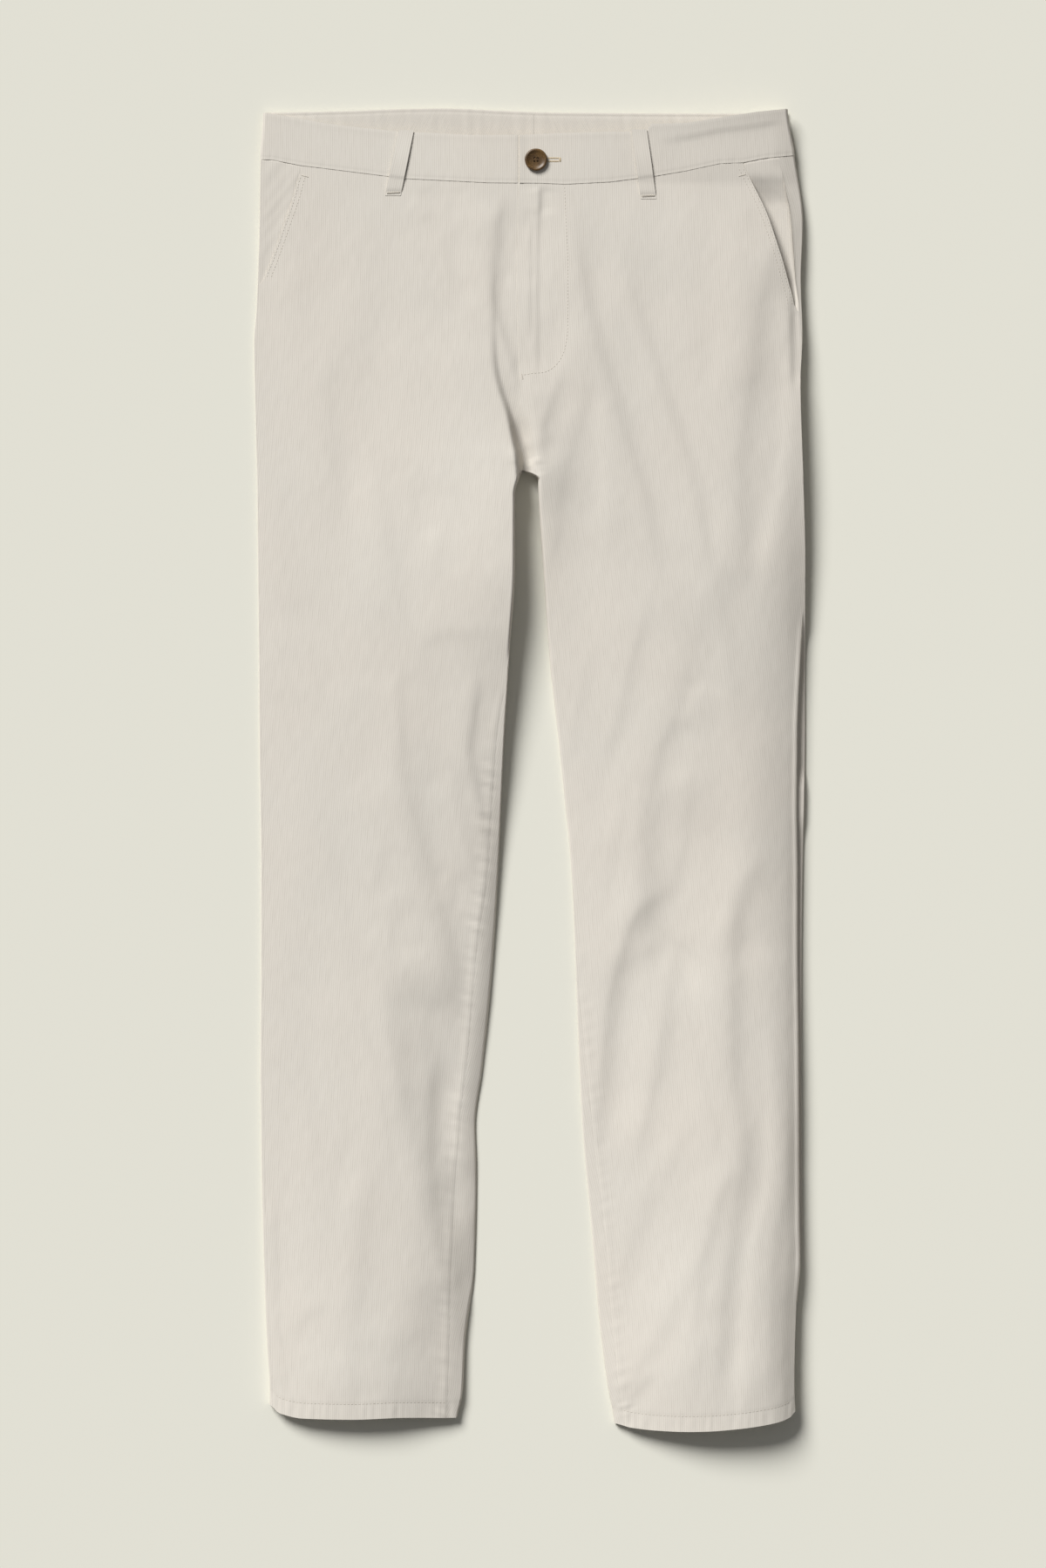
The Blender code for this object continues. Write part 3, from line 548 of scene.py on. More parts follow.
# A point moved "depth" into the garment, square to its turned edges. up: -1 from the upper
# side, 1 from the underside.
def placed(leg, x, down, height, outerTurn, innerTurn, away, up, depth):
    pushX = -leg.side * outerTurn + away[0] * innerTurn
    pushY = away[1] * innerTurn
    flat = np.hypot(pushX, pushY)
    scale = 1 / np.maximum(1, flat)
    pushX, pushY, flat = pushX * scale, pushY * scale, flat * scale
    pushZ = up * np.sqrt(np.maximum(0, 1 - flat**2))
    y = cloth["length"] / 2 - down
    spot = np.broadcast_arrays(x + pushX * depth, y + pushY * depth, height + pushZ * depth)
    return np.stack(spot, -1)


# Small relief that belongs to the sewing: the turned-up hem, welts, puckers and the fly
sewing = {
    "hem": 12.7,
    "hemDip": 0.2,
    "hemPucker": 0.20,
    "seamWelt": 0.22,
    "seamPitch": 9.0,  # of the puckers
    "edgePitch": 7.5,
    "mouthPucker": 0.06,
    "lap": 0.10,
    "flyDip": 0.1,
    "flyEnd": 236,
}


def hemHeight(leg, x, down):
    aboveHem = leg.hem(x) - down
    turnUp = ease((sewing["hem"] + 1.5 - aboveHem) / 3)
    groove = bell((aboveHem - sewing["hem"]) / 0.9)
    ruck = waver(x, sewing["edgePitch"], 2.0 + leg.side) * bell((aboveHem - sewing["hem"] * 0.45) / 5)
    return sewing["hemPucker"] * ruck - sewing["hemDip"] * (0.7 * turnUp + 0.4 * groove)


def inseamHeight(leg, down, fromInner):
    gap = fromInner - leg.inseam(down)
    onLeg = ease((down - 320) / 60) * ease(leg.inseam(down) / 5)
    welt = bell((gap - 2.4) / 2.2) - 0.6 * bell((gap + 0.2) / 0.9)
    ruck = waver(down + gap * 0.35, sewing["seamPitch"], 5.0 + leg.side) * bell((gap - 4) / 5)
    return onLeg * sewing["seamWelt"] * welt + leg.ruck(down) * ruck


def mouthHeight(leg, down, fromOuter):
    onPocket = window(down, 50, 20, leg.mouthEnd[0], 20)
    edge = fromOuter - leg.mouth(down)
    ruck = waver(down, sewing["edgePitch"], 1.0 + leg.side) * bell((edge - 4) / 4)
    return onPocket * sewing["mouthPucker"] * ruck


def flyHeight(leg, x, down):
    fromFly = x - flyEdge(down)
    onFly = ease((sewing["flyEnd"] - down) / 24)
    if leg is left:
        return sewing["lap"] * (0.4 + 0.6 * onFly) * (1 - ease(fromFly / (3 + 14 * onFly)))
    return -sewing["flyDip"] * onFly * ease((fromFly + 5) / 5)


# The left outseam of the leg has a hard edge, with the back lying low beyond it
step = {
    "height": smoothCurve(
        ((405, 9), (432, 2.8), (535, 2.5), (556, 5.6), (574, 5.6), (600, 3), (985, 3.6))
    ),
    "from": 405,
    "to": 985,
    "fade": 50,
    "width": 1.0,
    "welt": 0.8,
}


def outseamStep(leg, down, fromOuter, height):
    if leg is right:
        return height
    seam = leg.outerSeam(down)
    share = window(down, step["from"], step["fade"], step["to"], step["fade"])
    beyond = 1 - ease((fromOuter - seam + step["width"]) / step["width"])
    low = np.minimum(height, step["height"](down))
    onHip = 0.6 * window(down, 46, 12, 205, 40)
    welt = step["welt"] * (share + onHip) * bell((fromOuter - seam - 1.0) / 1.1)
    return height + welt + share * beyond * (low - height)


# The left end of the waistband tips towards the legs
tip = {"height": 6.8, "from": -10, "to": 150, "deep": 62}


def bandTip(x, down):
    share = ease((x - tip["from"]) / (tip["to"] - tip["from"]))
    return tip["height"] * share * np.clip(1 - down / tip["deep"], 0, 1)


# The upper side of the garment
def cover(leg, x, down, depth=0.0):
    fromOuter, fromInner, away = edgesOf(leg, x, down)
    outerTurn, outerRise = turned(fromOuter, cloth["roll"])
    innerTurn, innerRise = turned(fromInner, cloth["roll"])
    top = topHeight(leg, x, down) + creaseHeight(x, down) + thighHeight(x, down) + bandTip(x, down)
    top = top - leg.droop(down) * np.clip(1 - fromInner / cloth["droopReach"], 0, 1) ** 2
    top = top + ease((down - swellStart["down"]) / swellStart["over"]) * swellHeight(x, down)
    top = top + hemHeight(leg, x, down) + inseamHeight(leg, down, fromInner)
    top = top + mouthHeight(leg, down, fromOuter) + flyHeight(leg, x, down)
    side = cloth["sideHeight"] + waistLift(down)
    height = outseamStep(leg, down, fromOuter, side + (top - side) * outerRise * innerRise)
    return placed(leg, x, down, height, outerTurn, innerTurn, away, -1, depth)


# The underside lies flat, with shallow grooves where creases run
under = {
    "groove": 0.45,  # how much of the relief of the upper side shows
    "deepest": 1.4,
    "creaseShift": (14, -22),
    "swellShift": 70,
    "from": 60,
    "over": 60,
}


def tray(leg, x, down, depth=0.0):
    fromOuter, fromInner, away = edgesOf(leg, x, down)
    outerTurn, outerRise = turned(fromOuter, cloth["sideHeight"])
    innerTurn, innerRise = turned(fromInner, cloth["sideHeight"])
    shiftX, shiftDown = under["creaseShift"]
    relief = creaseHeight(x + shiftX, down + shiftDown) + swellHeight(x, down + under["swellShift"])
    groove = np.minimum(under["groove"] * np.maximum(0, relief), under["deepest"])
    groove = groove * ease((down - under["from"]) / under["over"])
    height = cloth["sideHeight"] - (cloth["sideHeight"] - groove) * outerRise * innerRise
    return placed(leg, x, down, height + waistLift(down), outerTurn, innerTurn, away, 1, depth)


# How far in from an edge its seam lies, and "shift" further on over the rounded cloth
def inset(leg, edge, down, shift):
    radius = cloth["roll"]
    seam = leg.inseam(down) if edge == "inner" else leg.outerSeam(down)
    rise = np.maximum(2, topHeight(leg, getattr(leg, edge)(down), down) - cloth["sideHeight"])
    angle = np.maximum(math.radians(10), np.arccos(np.clip(1 - seam / radius, 0, 1)))
    angle = angle + shift / np.hypot(radius * np.sin(angle), rise * np.cos(angle))
    return np.where(seam >= radius, seam + shift, radius * (1 - np.cos(angle)))


def outerLine(leg, down, inward):
    return leg.outer(down) - leg.side * inward


# The line that lies "inward" from the notch, or beside the centre seam above it
def innerLine(leg, down, inward, centre, least, lap=0.0):
    notch, _, rise = fork(leg, down)
    power = crotch["power"]
    width = np.maximum(0, (notch + inward) ** power - rise**power) ** (1 / power)
    beside = centre(down) + leg.side * (least - lap)
    return np.where(width > least, crotch["x"] + leg.side * width, beside)


# Mesh making

sheets = {}  # the cloth pieces, by the node that each one stands for


def linkPiece(name, points, faces, material, grain=None):
    mesh = bpy.data.meshes.new(name)
    mesh.from_pydata((points * mm).tolist(), [], faces)
    mesh.materials.append(material)
    if grain is not None:
        layer = mesh.uv_layers.new(name="grain")
        corners = np.zeros(len(mesh.loops), int)
        mesh.loops.foreach_get("vertex_index", corners)
        layer.data.foreach_set("uv", (grain[corners] * mm).ravel())
    mesh.shade_smooth()
    mesh.validate()
    piece = bpy.data.objects.new(name, mesh)
    bpy.context.collection.objects.link(piece)
    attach(piece, "root")
    return piece


# Above zero when the faces look outwards
def volume(points, faces):
    a, b, c, d = (points[faces[:, k]] for k in range(4))
    return (np.einsum("ij,ij->i", a, np.cross(b, c)) + np.einsum("ij,ij->i", a, np.cross(c, d))).sum()


# A closed wall between two grids of points, with crisp edges round its rim
def shell(node, outside, inside, material, grain):
    rows, columns = outside.shape[:2]
    count = rows * columns
    index = np.arange(count).reshape(rows, columns)
    rim = np.concatenate([index[0, :-1], index[:-1, -1], index[-1, :0:-1], index[:0:-1, 0]])
    after = np.roll(rim, -1)
    points = np.concatenate([outside.reshape(-1, 3), inside.reshape(-1, 3)])
    quads = np.stack([index[:-1, :-1], index[:-1, 1:], index[1:, 1:], index[1:, :-1]], -1).reshape(-1, 4)
    wall = np.stack([after, rim, rim + count, after + count], -1)
    faces = np.concatenate([quads, quads[:, ::-1] + count, wall])
    if volume(points, faces) < 0:
        faces = faces[:, ::-1]
    uv = grain.reshape(-1, 2)
    piece = linkPiece(node + "_cloth", points, faces.tolist(), material, np.concatenate([uv, uv]))
    sheets[node] = piece

    def edgeKeys(pairs):
        return np.sort(pairs, axis=1) @ np.array([2 * count, 1])

    ends = np.zeros(len(piece.data.edges) * 2, int)
    piece.data.edges.foreach_get("vertices", ends)
    rims = [edgeKeys(np.stack([rim, after], 1) + side) for side in (0, count)]
    crisp = piece.data.attributes.new("sharp_edge", "BOOLEAN", "EDGE")
    crisp.data.foreach_set("value", np.isin(edgeKeys(ends.reshape(-1, 2)), np.concatenate(rims)))


# Grain of a grid, across the ribs and along them, measured over the cloth from one column: the
# middle one unless another is given
def grainOf(grid, x, down, lean, column=None):
    steps = np.linalg.norm(np.diff(grid, axis=1), axis=2)
    across = np.concatenate([np.zeros((len(grid), 1)), np.cumsum(steps, axis=1)], axis=1)
    sign = np.sign(x[:, -1:] - x[:, :1])
    first = x.shape[1] // 2 if column is None else column
    start = slice(first, first + 1)
    across = sign * (across - across[:, start]) + x[:, start]
    return np.stack([across + lean, -down], -1)


# A layer of cloth that follows the upper side or the underside, "depth" into the garment
def makeLayer(
    node, surfaceOf, leg, x, down, depth, wall, material, lean=0, grain=None, column=None
):
    outside, inside = (surfaceOf(leg, x, down, depth + d) for d in (0.0, wall))
    if grain is None:
        grain = grainOf(outside, x, down, lean, column)
    shell(node, outside, inside, material, grain)


# (start, end, count) stretches joined into one list of places
def spread(*stretches):
    parts = [np.linspace(a, b, n, endpoint=False) for a, b, n in stretches]
    return np.concatenate([*parts, [stretches[-1][1]]])


def evenGrid(rows, columns):
    return np.meshgrid(rows, columns, indexing="ij")


# Rows of the panels. They follow the waist seam and the hem, and lie straight across between.
waistLevel, hemLevel, waistFade, hemFade = 61, 1074, 212, 920
levels = spread(
    (waistLevel, 64, 7), (64, 75, 6), (75, 284, 70), (284, 318, 34), (318, 620, 88), (620, 900, 88),
    (900, 1054, 50), (1054, hemLevel, 14),
)
rounds = 4  # enough for a row's x and down to settle on each other


def rowDown(level, x, waist, hem):
    up = np.clip((waistFade - level) / (waistFade - waistLevel), 0, 1)
    low = np.clip((level - hemFade) / (hemLevel - hemFade), 0, 1)
    return level + (up * (waist(x) + cloth["seamGap"] - waistLevel) + low * (hem(x) - hemLevel))


def settle(level, findX, waist, hem):
    down = level
    for _ in range(rounds):
        x = findX(down)
        down = rowDown(level, x, waist, hem)
    return x, down


# The panels slip under the waistband, so they dip just above its seam
tuck = {"up": 1.8, "deep": 1.3}


def tuckDepth(x, down):
    return tuck["deep"] * (1 - ease((down - bandSeam(x)) / tuck["up"] + 1))


def tucked(x):
    return bandSeam(x) - tuck["up"] - cloth["seamGap"]


def frontOutset(leg, down):
    seam = inset(leg, "outer", down, halfGap)
    lastDown, last = leg.mouthEnd
    below = seam + np.maximum(0, last - seam) * (1 - ease((down - lastDown) / 5))
    return np.where(down <= lastDown, leg.mouth(down), below)


def makeFront(leg, material):
    level, share = evenGrid(levels, spread((0, 0.1, 20), (0.1, 0.9, 72), (0.9, 1, 16)))
    lap = cloth["flyLap"] if leg is left else 0.0

    def findX(down):
        outer = outerLine(leg, down, frontOutset(leg, down))
        inward = inset(leg, "inner", down, halfGap)
        return outer + (innerLine(leg, down, inward, flyEdge, halfGap, lap) - outer) * share

    x, down = settle(level, findX, tucked, leg.hem)
    lean = -leg.side * leg.lean(down)
    node = "front_" + leg.name
    makeLayer(node, cover, leg, x, down, tuckDepth(x, down), cloth["wall"], material, lean)


# From the side seam round the side fold, across the underside and up to the inseam
def makeBack(leg, material):
    curl = spread((1, 0, 12))[:-1]
    turn = spread((0, 1, 6))
    flat = spread((0, 1, 34))[1:-1]
    folded = len(turn) + len(curl)

    # Ways in from an edge: over the rounded upper side, and round the side fold
    def curled(edge, share):
        def inward(down):
            radius = cloth["roll"]
            reach = inset(leg, edge, down, -halfGap)
            angle = np.arccos(np.clip(1 - reach / radius, 0, 1))
            return np.where(reach >= radius, reach * share, radius * (1 - np.cos(angle * share)))
        return inward

    def quarter(share):
        return lambda down: cloth["sideHeight"] * (1 - math.cos(math.radians(90) * share))

    def outerAt(inward):
        return lambda down: outerLine(leg, down, inward(down))

    def innerAt(inward, order):
        least = halfGap + order * cloth["pleat"]
        return lambda down: innerLine(leg, down, inward(down), centreBack, least)

    def between(share):
        def findX(down):
            start = outerLine(leg, down, cloth["sideHeight"])
            end = innerLine(leg, down, cloth["sideHeight"], centreBack, folded * cloth["pleat"])
            return start + (end - start) * share
        return findX

    columns = [settle(levels, outerAt(curled("outer", s)), tucked, leg.hem) for s in curl]
    lower = [outerAt(quarter(s)) for s in turn] + [between(s) for s in flat]
    lower += [innerAt(quarter(s), folded - 1 - k) for k, s in enumerate(turn[::-1])]
    lower += [innerAt(curled("inner", s), len(curl) - 1 - k) for k, s in enumerate(curl[::-1])]
    columns += [settle(levels, findX, backSeam, leg.hem) for findX in lower]
    x, down = np.stack(columns, -1)

    # The first columns lie on the upper side, and so do the last ones on the leg
    onTop = np.zeros((*x.shape, 1), bool)
    onTop[:, : len(curl)] = True
    onTop[levels > crotch["down"], -len(curl) :] = True
    skins = []
    for depth in (0.0, cloth["wall"]):
        above = cover(leg, x, down, depth + tuckDepth(x, down))
        skins.append(np.where(onTop, above, tray(leg, x, down, depth)))
    grain = grainOf(skins[0], x, down, leg.side * leg.lean(down) * 0.5)
    shell("back_" + leg.name, *skins, material, grain)


# The bearer seen inside a slanted pocket mouth. drop: how deep it lies. gape: how far the mouth
# stands open. underlap, beyond: how far it runs on under the front, and below the mouth.
bearer = {
    "drop": {"right": 0.45, "left": 1.2},
    "gape": {"right": 0.0, "left": 5.4},
    "top": 45,
    "underlap": 8,
    "beyond": 7.0,
    "ruck": 0.1,
}


def makeBearer(leg, material):
    end = leg.mouthEnd[0] + bearer["beyond"]
    rowShare, across = evenGrid(np.linspace(0, 1, 60), np.linspace(0, 1, 18))
    down = bearer["top"] + (end - bearer["top"]) * rowShare
    for _ in range(rounds):
        seam = inset(leg, "outer", down, halfGap)
        mouth = leg.mouth(down)
        inward = seam + (mouth + bearer["underlap"] - seam) * across
        x = outerLine(leg, down, inward)
        top = tucked(x)
        down = top + (end - top) * rowShare
    gape = bearer["gape"][leg.name] * window(down, 54, 26, end - 4, 24)
    least = bearer["drop"][leg.name] * (0.2 + 0.8 * ease((down - 50) / 22))
    share = ease((inward - seam) / (0.8 * np.maximum(2, mouth - seam)))
    drop = least * share + gape * (0.7 + 0.3 * share) + 0.8 * ease((inward - mouth) / 2.5)
    ruck = bearer["ruck"] * waver(down * 0.8 + inward, 13, 4.0) * ease((inward - seam) / 6)
    depth = drop + ruck + tuckDepth(x, down)
    lean = -leg.side * leg.lean(down)
    makeLayer("pocket_bearer_" + leg.name, cover, leg, x, down, depth, cloth["wall"], material, lean)


# Waistband: the outer layer in two front and two back halves, and the facing inside the back
band = {
    "wall": 1.4,
    "proud": 0.48,
    "side": 0.12,  # how far in from the side fold the halves meet
    "endX": {"right": 14.0, "left": -8.2},  # the left half laps over the right
    "lapGap": 0.3,
    "backWall": 1.3,
    "backGap": 0.05,
    "facingWall": 1.0,
    "facingSide": 6,
    "facingRuck": 0.12,
    "ribColumns": (60, 40),  # columns of the front and back grids that the ribs start from
    "bias": 24,  # degrees that the ribs of the facing lean
    "crease": tracedLine([(112, 27.5), (130, 25), (154, 20), (184, 16), (200, 13)]),
    "creaseDeep": 0.35,
    "pucker": 0.10,
    "groove": 0.12,
    "edgeRoll": 0.08,
}


def bandGrid(leg, start, end, rows, columns, top, seam):
    rowShare, share = evenGrid(rows, columns)
    down = 20 + 20 * rowShare
    for _ in range(rounds):
        x = outerLine(leg, down, start) + (end - outerLine(leg, down, start)) * share
        down = top(x) + (seam(x) - top(x)) * rowShare
    return x, down


def bandDepth(leg, x, down):
    lapped = ease((x + 9.5) / 4) if leg is right else -0.25 * ease((x + 2) / -6)
    lap = (band["wall"] + band["lapGap"]) * lapped - band["proud"]
    fromSeam = bandSeam(x) - down
    fromTop = down - bandTop(x)
    pucker = band["pucker"] * waver(x, 5.5, 3.0) * bell((fromSeam - 1) / 3)
    groove = band["groove"] * bell((fromSeam - 1.8) / 0.9)
    roll = band["edgeRoll"] * (1 - ease(fromSeam / 1.2)) - 0.1 * bell((fromTop - 2) / 1.5)
    crease = 0
    if leg is left:
        below = down - np.interp(x, *band["crease"].T)
        crease = band["creaseDeep"] * window(x, 100, 30, 212, 20)
        crease = crease * (1 + np.tanh(below / 1.6)) * bell(below / 14)
    return lap + pucker + groove + roll + crease


def makeBandFront(leg, material):
    rows = spread((0, 0.08, 4), (0.08, 0.88, 14), (0.88, 1, 6))
    columns = spread((0, 0.04, 8), (0.04, 0.16, 14), (0.16, 1, 84))
    x, down = bandGrid(leg, band["side"], band["endX"][leg.name], rows, columns, bandTop, bandSeam)
    node, depth, column = "waistband_front_" + leg.name, bandDepth(leg, x, down), band["ribColumns"][0]
    makeLayer(node, cover, leg, x, down, depth, band["wall"], material, column=column)


def makeBandBack(leg, material):
    middle = float(centreBack(20)) + leg.side * band["backGap"]
    rows, columns = np.linspace(0, 1, 14), spread((0, 0.06, 12), (0.06, 1, 60))
    x, down = bandGrid(leg, band["side"], middle, rows, columns, backTop, backSeam)
    node, column = "waistband_back_" + leg.name, band["ribColumns"][1]
    makeLayer(node, tray, leg, x, down, 0.0, band["backWall"], material, column=column)


def makeFacing(leg, material):
    middle = float(centreBack(20)) + leg.side * band["backGap"]
    rows, columns = spread((0, 0.12, 5), (0.12, 1, 12)), np.linspace(0, 1, 90)
    x, down = bandGrid(leg, band["facingSide"], middle, rows, columns, backTop, backSeam)
    fromTop = down - backTop(x)
    sag = 0.35 * (1 - ease(fromTop / 1.2)) + 0.25 * bell((fromTop - 2.5) / 0.8)
    ruck = band["facingRuck"] * waver(x, 8, 6.0 + leg.side)
    depth = band["backWall"] + cloth["seamGap"] - sag + ruck
    bias = math.radians(band["bias"]) * -leg.side
    across = x * math.cos(bias) + down * math.sin(bias)
    grain = np.stack([across, x * math.sin(bias) - down * math.cos(bias)], -1)
    node = "waist_facing_" + leg.name
    makeLayer(node, tray, leg, x, down, depth, band["facingWall"], material, grain=grain)


# The closed zip and the shield behind it, under the edge of the left front: depth, wall, and
# how far to each side of the fly line
flyLayers = {"fly_zip": (1.7, 1.0, -8, 18), "fly_shield": (3.1, 1.2, -12, 26)}
flyEnds = (64, 222)


def makeFlyLayers(material):
    for node, (depth, wall, first, last) in flyLayers.items():
        down, offset = evenGrid(np.linspace(*flyEnds, 40), np.linspace(first, last, 14))
        x = flyEdge(down) + offset
        grain = np.stack([x, -down], -1)
        makeLayer(node, cover, left, x, down, depth, wall, material, grain=grain)


# Belt loops: where each starts and ends. rise: how far a front one stands off on the way.
loopSize = {
    "width": 12.6,
    "wall": 0.7,
    "rise": smoothCurve(((0, 0.35), (0.5, 1.2), (0.85, 0.5), (1, 0.0))),
    "backRise": 0.35,
    "tack": 0.35,  # how deep the bar tack presses in
    "endThin": 0.3,
}
loops = {
    "belt_loop_front_right": (right, (-100.4, 18.8), (-111.2, 72.0)),
    "belt_loop_front_left": (left, (89.1, 18.8), (96.9, 75.0)),
    "belt_loop_back_right": (right, (-128.0, 3.0), (-128.0, 54.0)),
    "belt_loop_back_centre": (left, (3.0, 4.5), (2.5, 54.0)),
    "belt_loop_back_left": (left, (132.0, 5.5), (132.0, 54.0)),
}


def loopSpot(start, end, t):
    return start[0] + (end[0] - start[0]) * t, start[1] + (end[1] - start[1]) * t


def makeLoop(node, leg, start, end, material):
    t, side = evenGrid(np.linspace(0, 1, 40), np.linspace(-0.5, 0.5, 13))
    x, down = loopSpot(start, end, t)
    x = x + side * loopSize["width"]
    wall = loopSize["wall"]
    if "back" in node:
        surfaceOf, off = tray, np.full_like(t, loopSize["backRise"])
    else:
        tack = loopSize["tack"] * bell((end[1] - down - 2.6) / 1.1)
        wall = wall - loopSize["endThin"] * ease((t - 0.9) / 0.1) - tack
        onBand = ease((bandSeam(x) + 1 - down) / 2)
        surfaceOf, off = cover, loopSize["rise"](t) + band["proud"] * onBand
    grain = np.stack([side * loopSize["width"], -down], -1)
    makeLayer(node, surfaceOf, leg, x, down, -off - wall, wall, material, grain=grain)


# Stitches: short arched threads that dip into the cloth at both ends
stitch = {
    "length": 2.3,
    "pitch": 2.9,
    "radius": 0.19,
    "sides": 6,
    # (share of the length, share of the radius, radii above the cloth) from end to end
    "rings": (
        (0.0, 0.4, -0.5), (0.15, 0.8, 0.05), (0.5, 1.0, 0.35), (0.85, 0.8, 0.05), (1.0, 0.4, -0.5),
    ),
}
stitchBins = {}


def addStitches(group, surfaceOf, leg, path, depth=0.0, **changes):
    facts = {**stitch, **changes}
    x, down = tracedLine(path, 0.5).T
    points = surfaceOf(leg, x, down, depth)
    upwards = surfaceOf(leg, x, down, depth - 1.0) - points
    along = lengthsAlong(points)
    count = max(1, int(along[-1] / facts["pitch"]))

    def at(table, place):
        return np.array([np.interp(place, along, column) for column in table.T])

    for centre in (np.arange(count) + 0.5) * along[-1] / count:
        start, end = (at(points, centre + way * facts["length"] / 2) for way in (-1, 1))
        stitchBins.setdefault(group, []).append((start, end, at(upwards, centre), facts["radius"]))


# One piece for each group of stitches
def makeStitches(material):
    sides, rings = stitch["sides"], stitch["rings"]
    angles = np.arange(sides) * 2 * math.pi / sides
    for group, threads in stitchBins.items():
        points, faces = [], []
        for start, end, up, radius in threads:
            along = (end - start) / np.linalg.norm(end - start)
            up = up - along * np.dot(up, along)
            up /= np.linalg.norm(up)
            across = np.cross(along, up)
            base = len(points)
            for t, size, lift in rings:
                centre = start + (end - start) * t + up * lift * radius
                for angle in angles:
                    way = math.cos(angle) * across + math.sin(angle) * up
                    points.append(centre + radius * size * way)
            last = base + (len(rings) - 1) * sides
            for ring in range(base, last, sides):
                for s in range(sides):
                    a, b = ring + s, ring + (s + 1) % sides
                    faces.append((a, b, b + sides, a + sides))
            faces.append(tuple(range(base + sides - 1, base - 1, -1)))
            faces.append(tuple(range(last, last + sides)))
        linkPiece("stitches_" + group, np.array(points), faces, material)
        print(f"{group} stitches made: {len(threads)}")
    stitchBins.clear()


# Materials

# A shader value that can be added, multiplied and so on
class Value:
    def __init__(self, graph, socket):
        self.graph, self.socket = graph, socket

    def __add__(self, other):
        return self.graph.maths("ADD", self, other)

    def __sub__(self, other):
        return self.graph.maths("SUBTRACT", self, other)

    def __rsub__(self, other):
        return self.graph.maths("SUBTRACT", other, self)

    def __mul__(self, other):
        return self.graph.maths("MULTIPLY", self, other)

    def __pow__(self, other):
        return self.graph.maths("POWER", self, other)

    __radd__ = __add__
    __rmul__ = __mul__


class Graph:
    def __init__(self, name):
        self.material = bpy.data.materials.new(name)
        self.material.use_nodes = True
        self.nodes = self.material.node_tree.nodes
        self.links = self.material.node_tree.links
        self.shader = self.nodes["Principled BSDF"]

    # Adds a node: its settings first, then the values or links of its sockets
    def add(self, kind, settings=(), sockets=(), output=0):
        node = self.nodes.new(kind)
        for key, value in dict(settings).items():
            setattr(node, key, value)
        for key, value in dict(sockets).items():
            self.feed(node.inputs[key], value)
        return Value(self, node.outputs[output])

    def feed(self, socket, value):
        if isinstance(value, Value):
            self.links.new(value.socket, socket)
        else:
            socket.default_value = value

    def maths(self, operation, a, b=0.0):
        return self.add("ShaderNodeMath", {"operation": operation}, {0: a, 1: b})

    def clamp(self, value):
        return self.add("ShaderNodeClamp", (), {"Value": value})

    def noise(self, where, scale, detail=2.0, roughness=0.5):
        sockets = {"Vector": where, "Scale": scale, "Detail": detail, "Roughness": roughness}
        return self.add("ShaderNodeTexNoise", (), sockets)

    # Noise that is stretched along the grain
    def grainNoise(self, across, along, detail):
        where = self.add("ShaderNodeCombineXYZ", (), {0: across, 1: along})
        return self.noise(where, 1.0, detail)

    # Sockets 6 and 7 of a colour Mix are its two colours, and output 2 is the result
    def blend(self, factor, a, b):
        return self.add("ShaderNodeMix", {"data_type": "RGBA"}, {0: factor, 6: a, 7: b}, output=2)

    def bump(self, distance, height, **before):
        return self.add("ShaderNodeBump", (), {"Distance": distance, "Height": height, **before})

    def finish(self, **sockets):
        for key, value in sockets.items():
            self.feed(self.shader.inputs[key.replace("_", " ")], value)
        return self.material


objectPlace = 3  # the output of a Texture Coordinate node that follows the piece

ribbed = {
    "pitch": 1.74,
    "ridge": (0.713, 0.674, 0.603),
    # painted shade: the darker colour that the valleys between the ribs are painted towards
    "valleyShade": (0.592, 0.549, 0.481),
    "warm": (0.717, 0.664, 0.588),
    # a scale on all the colours; below 1 it paints shade onto the cloth
    "shade": 1.0,
    "valleyShadeShare": 0.86,
    "fuzzShare": 0.10,
    "ribDepth": 0.00005,
    "fuzzDepth": 0.00003,
    "drift": (90, 9, 1.6),  # how fast the ribs drift across and along, and how far
    "slub": (620, 60),
    "patch": 9.0,
    "fuzz": 1700.0,
}


def clothMaterial(name, look):
    graph = Graph(name)
    tones = ([part * look["shade"] for part in look[tone]] for tone in ("ridge", "valleyShade", "warm"))
    ridge, valleyShade, warm = ((*tone, 1) for tone in tones)
    grain = graph.add("ShaderNodeUVMap", {"uv_map": "grain"})
    across = graph.add("ShaderNodeSeparateXYZ", (), {0: grain})
    along = Value(graph, across.socket.node.outputs[1])
    place = graph.add("ShaderNodeTexCoord", output=objectPlace)
    driftAcross, driftAlong, driftReach = look["drift"]
    drift = graph.grainNoise(across * driftAcross, along * driftAlong, 1.0)
    phase = across * (2 * math.pi / mm / look["pitch"]) + drift * driftReach
    rib = graph.maths("SINE", phase) * 0.5 + 0.5
    slubAcross, slubAlong = look["slub"]
    slub = graph.clamp(graph.grainNoise(across * slubAcross, along * slubAlong, 3.0) * 1.9 - 0.35)
    patch = graph.noise(place, look["patch"], 3.0, 0.55)
    fuzz = graph.noise(place, look["fuzz"], 2.0, 0.6)
    # The valleys between the ribs are painted darker as shade; a fine random fuzz of darker tone is mixed
    # in, which is the cloth's own
    low = (1 - rib) ** 2.0 * slub * look["valleyShadeShare"] + fuzz * look["fuzzShare"]
    colour = graph.blend(graph.clamp(patch * 2.2 - 0.6), ridge, warm)
    colour = graph.blend(graph.clamp(low), colour, valleyShade)
    ribs = graph.bump(look["ribDepth"], rib * (slub * 0.7 + 0.3))
    return graph.finish(
        Base_Color=colour, Roughness=0.92, Specular_IOR_Level=0.22, Sheen_Weight=0.06,
        Sheen_Roughness=0.5, Normal=graph.bump(look["fuzzDepth"], fuzz, Normal=ribs),
    )


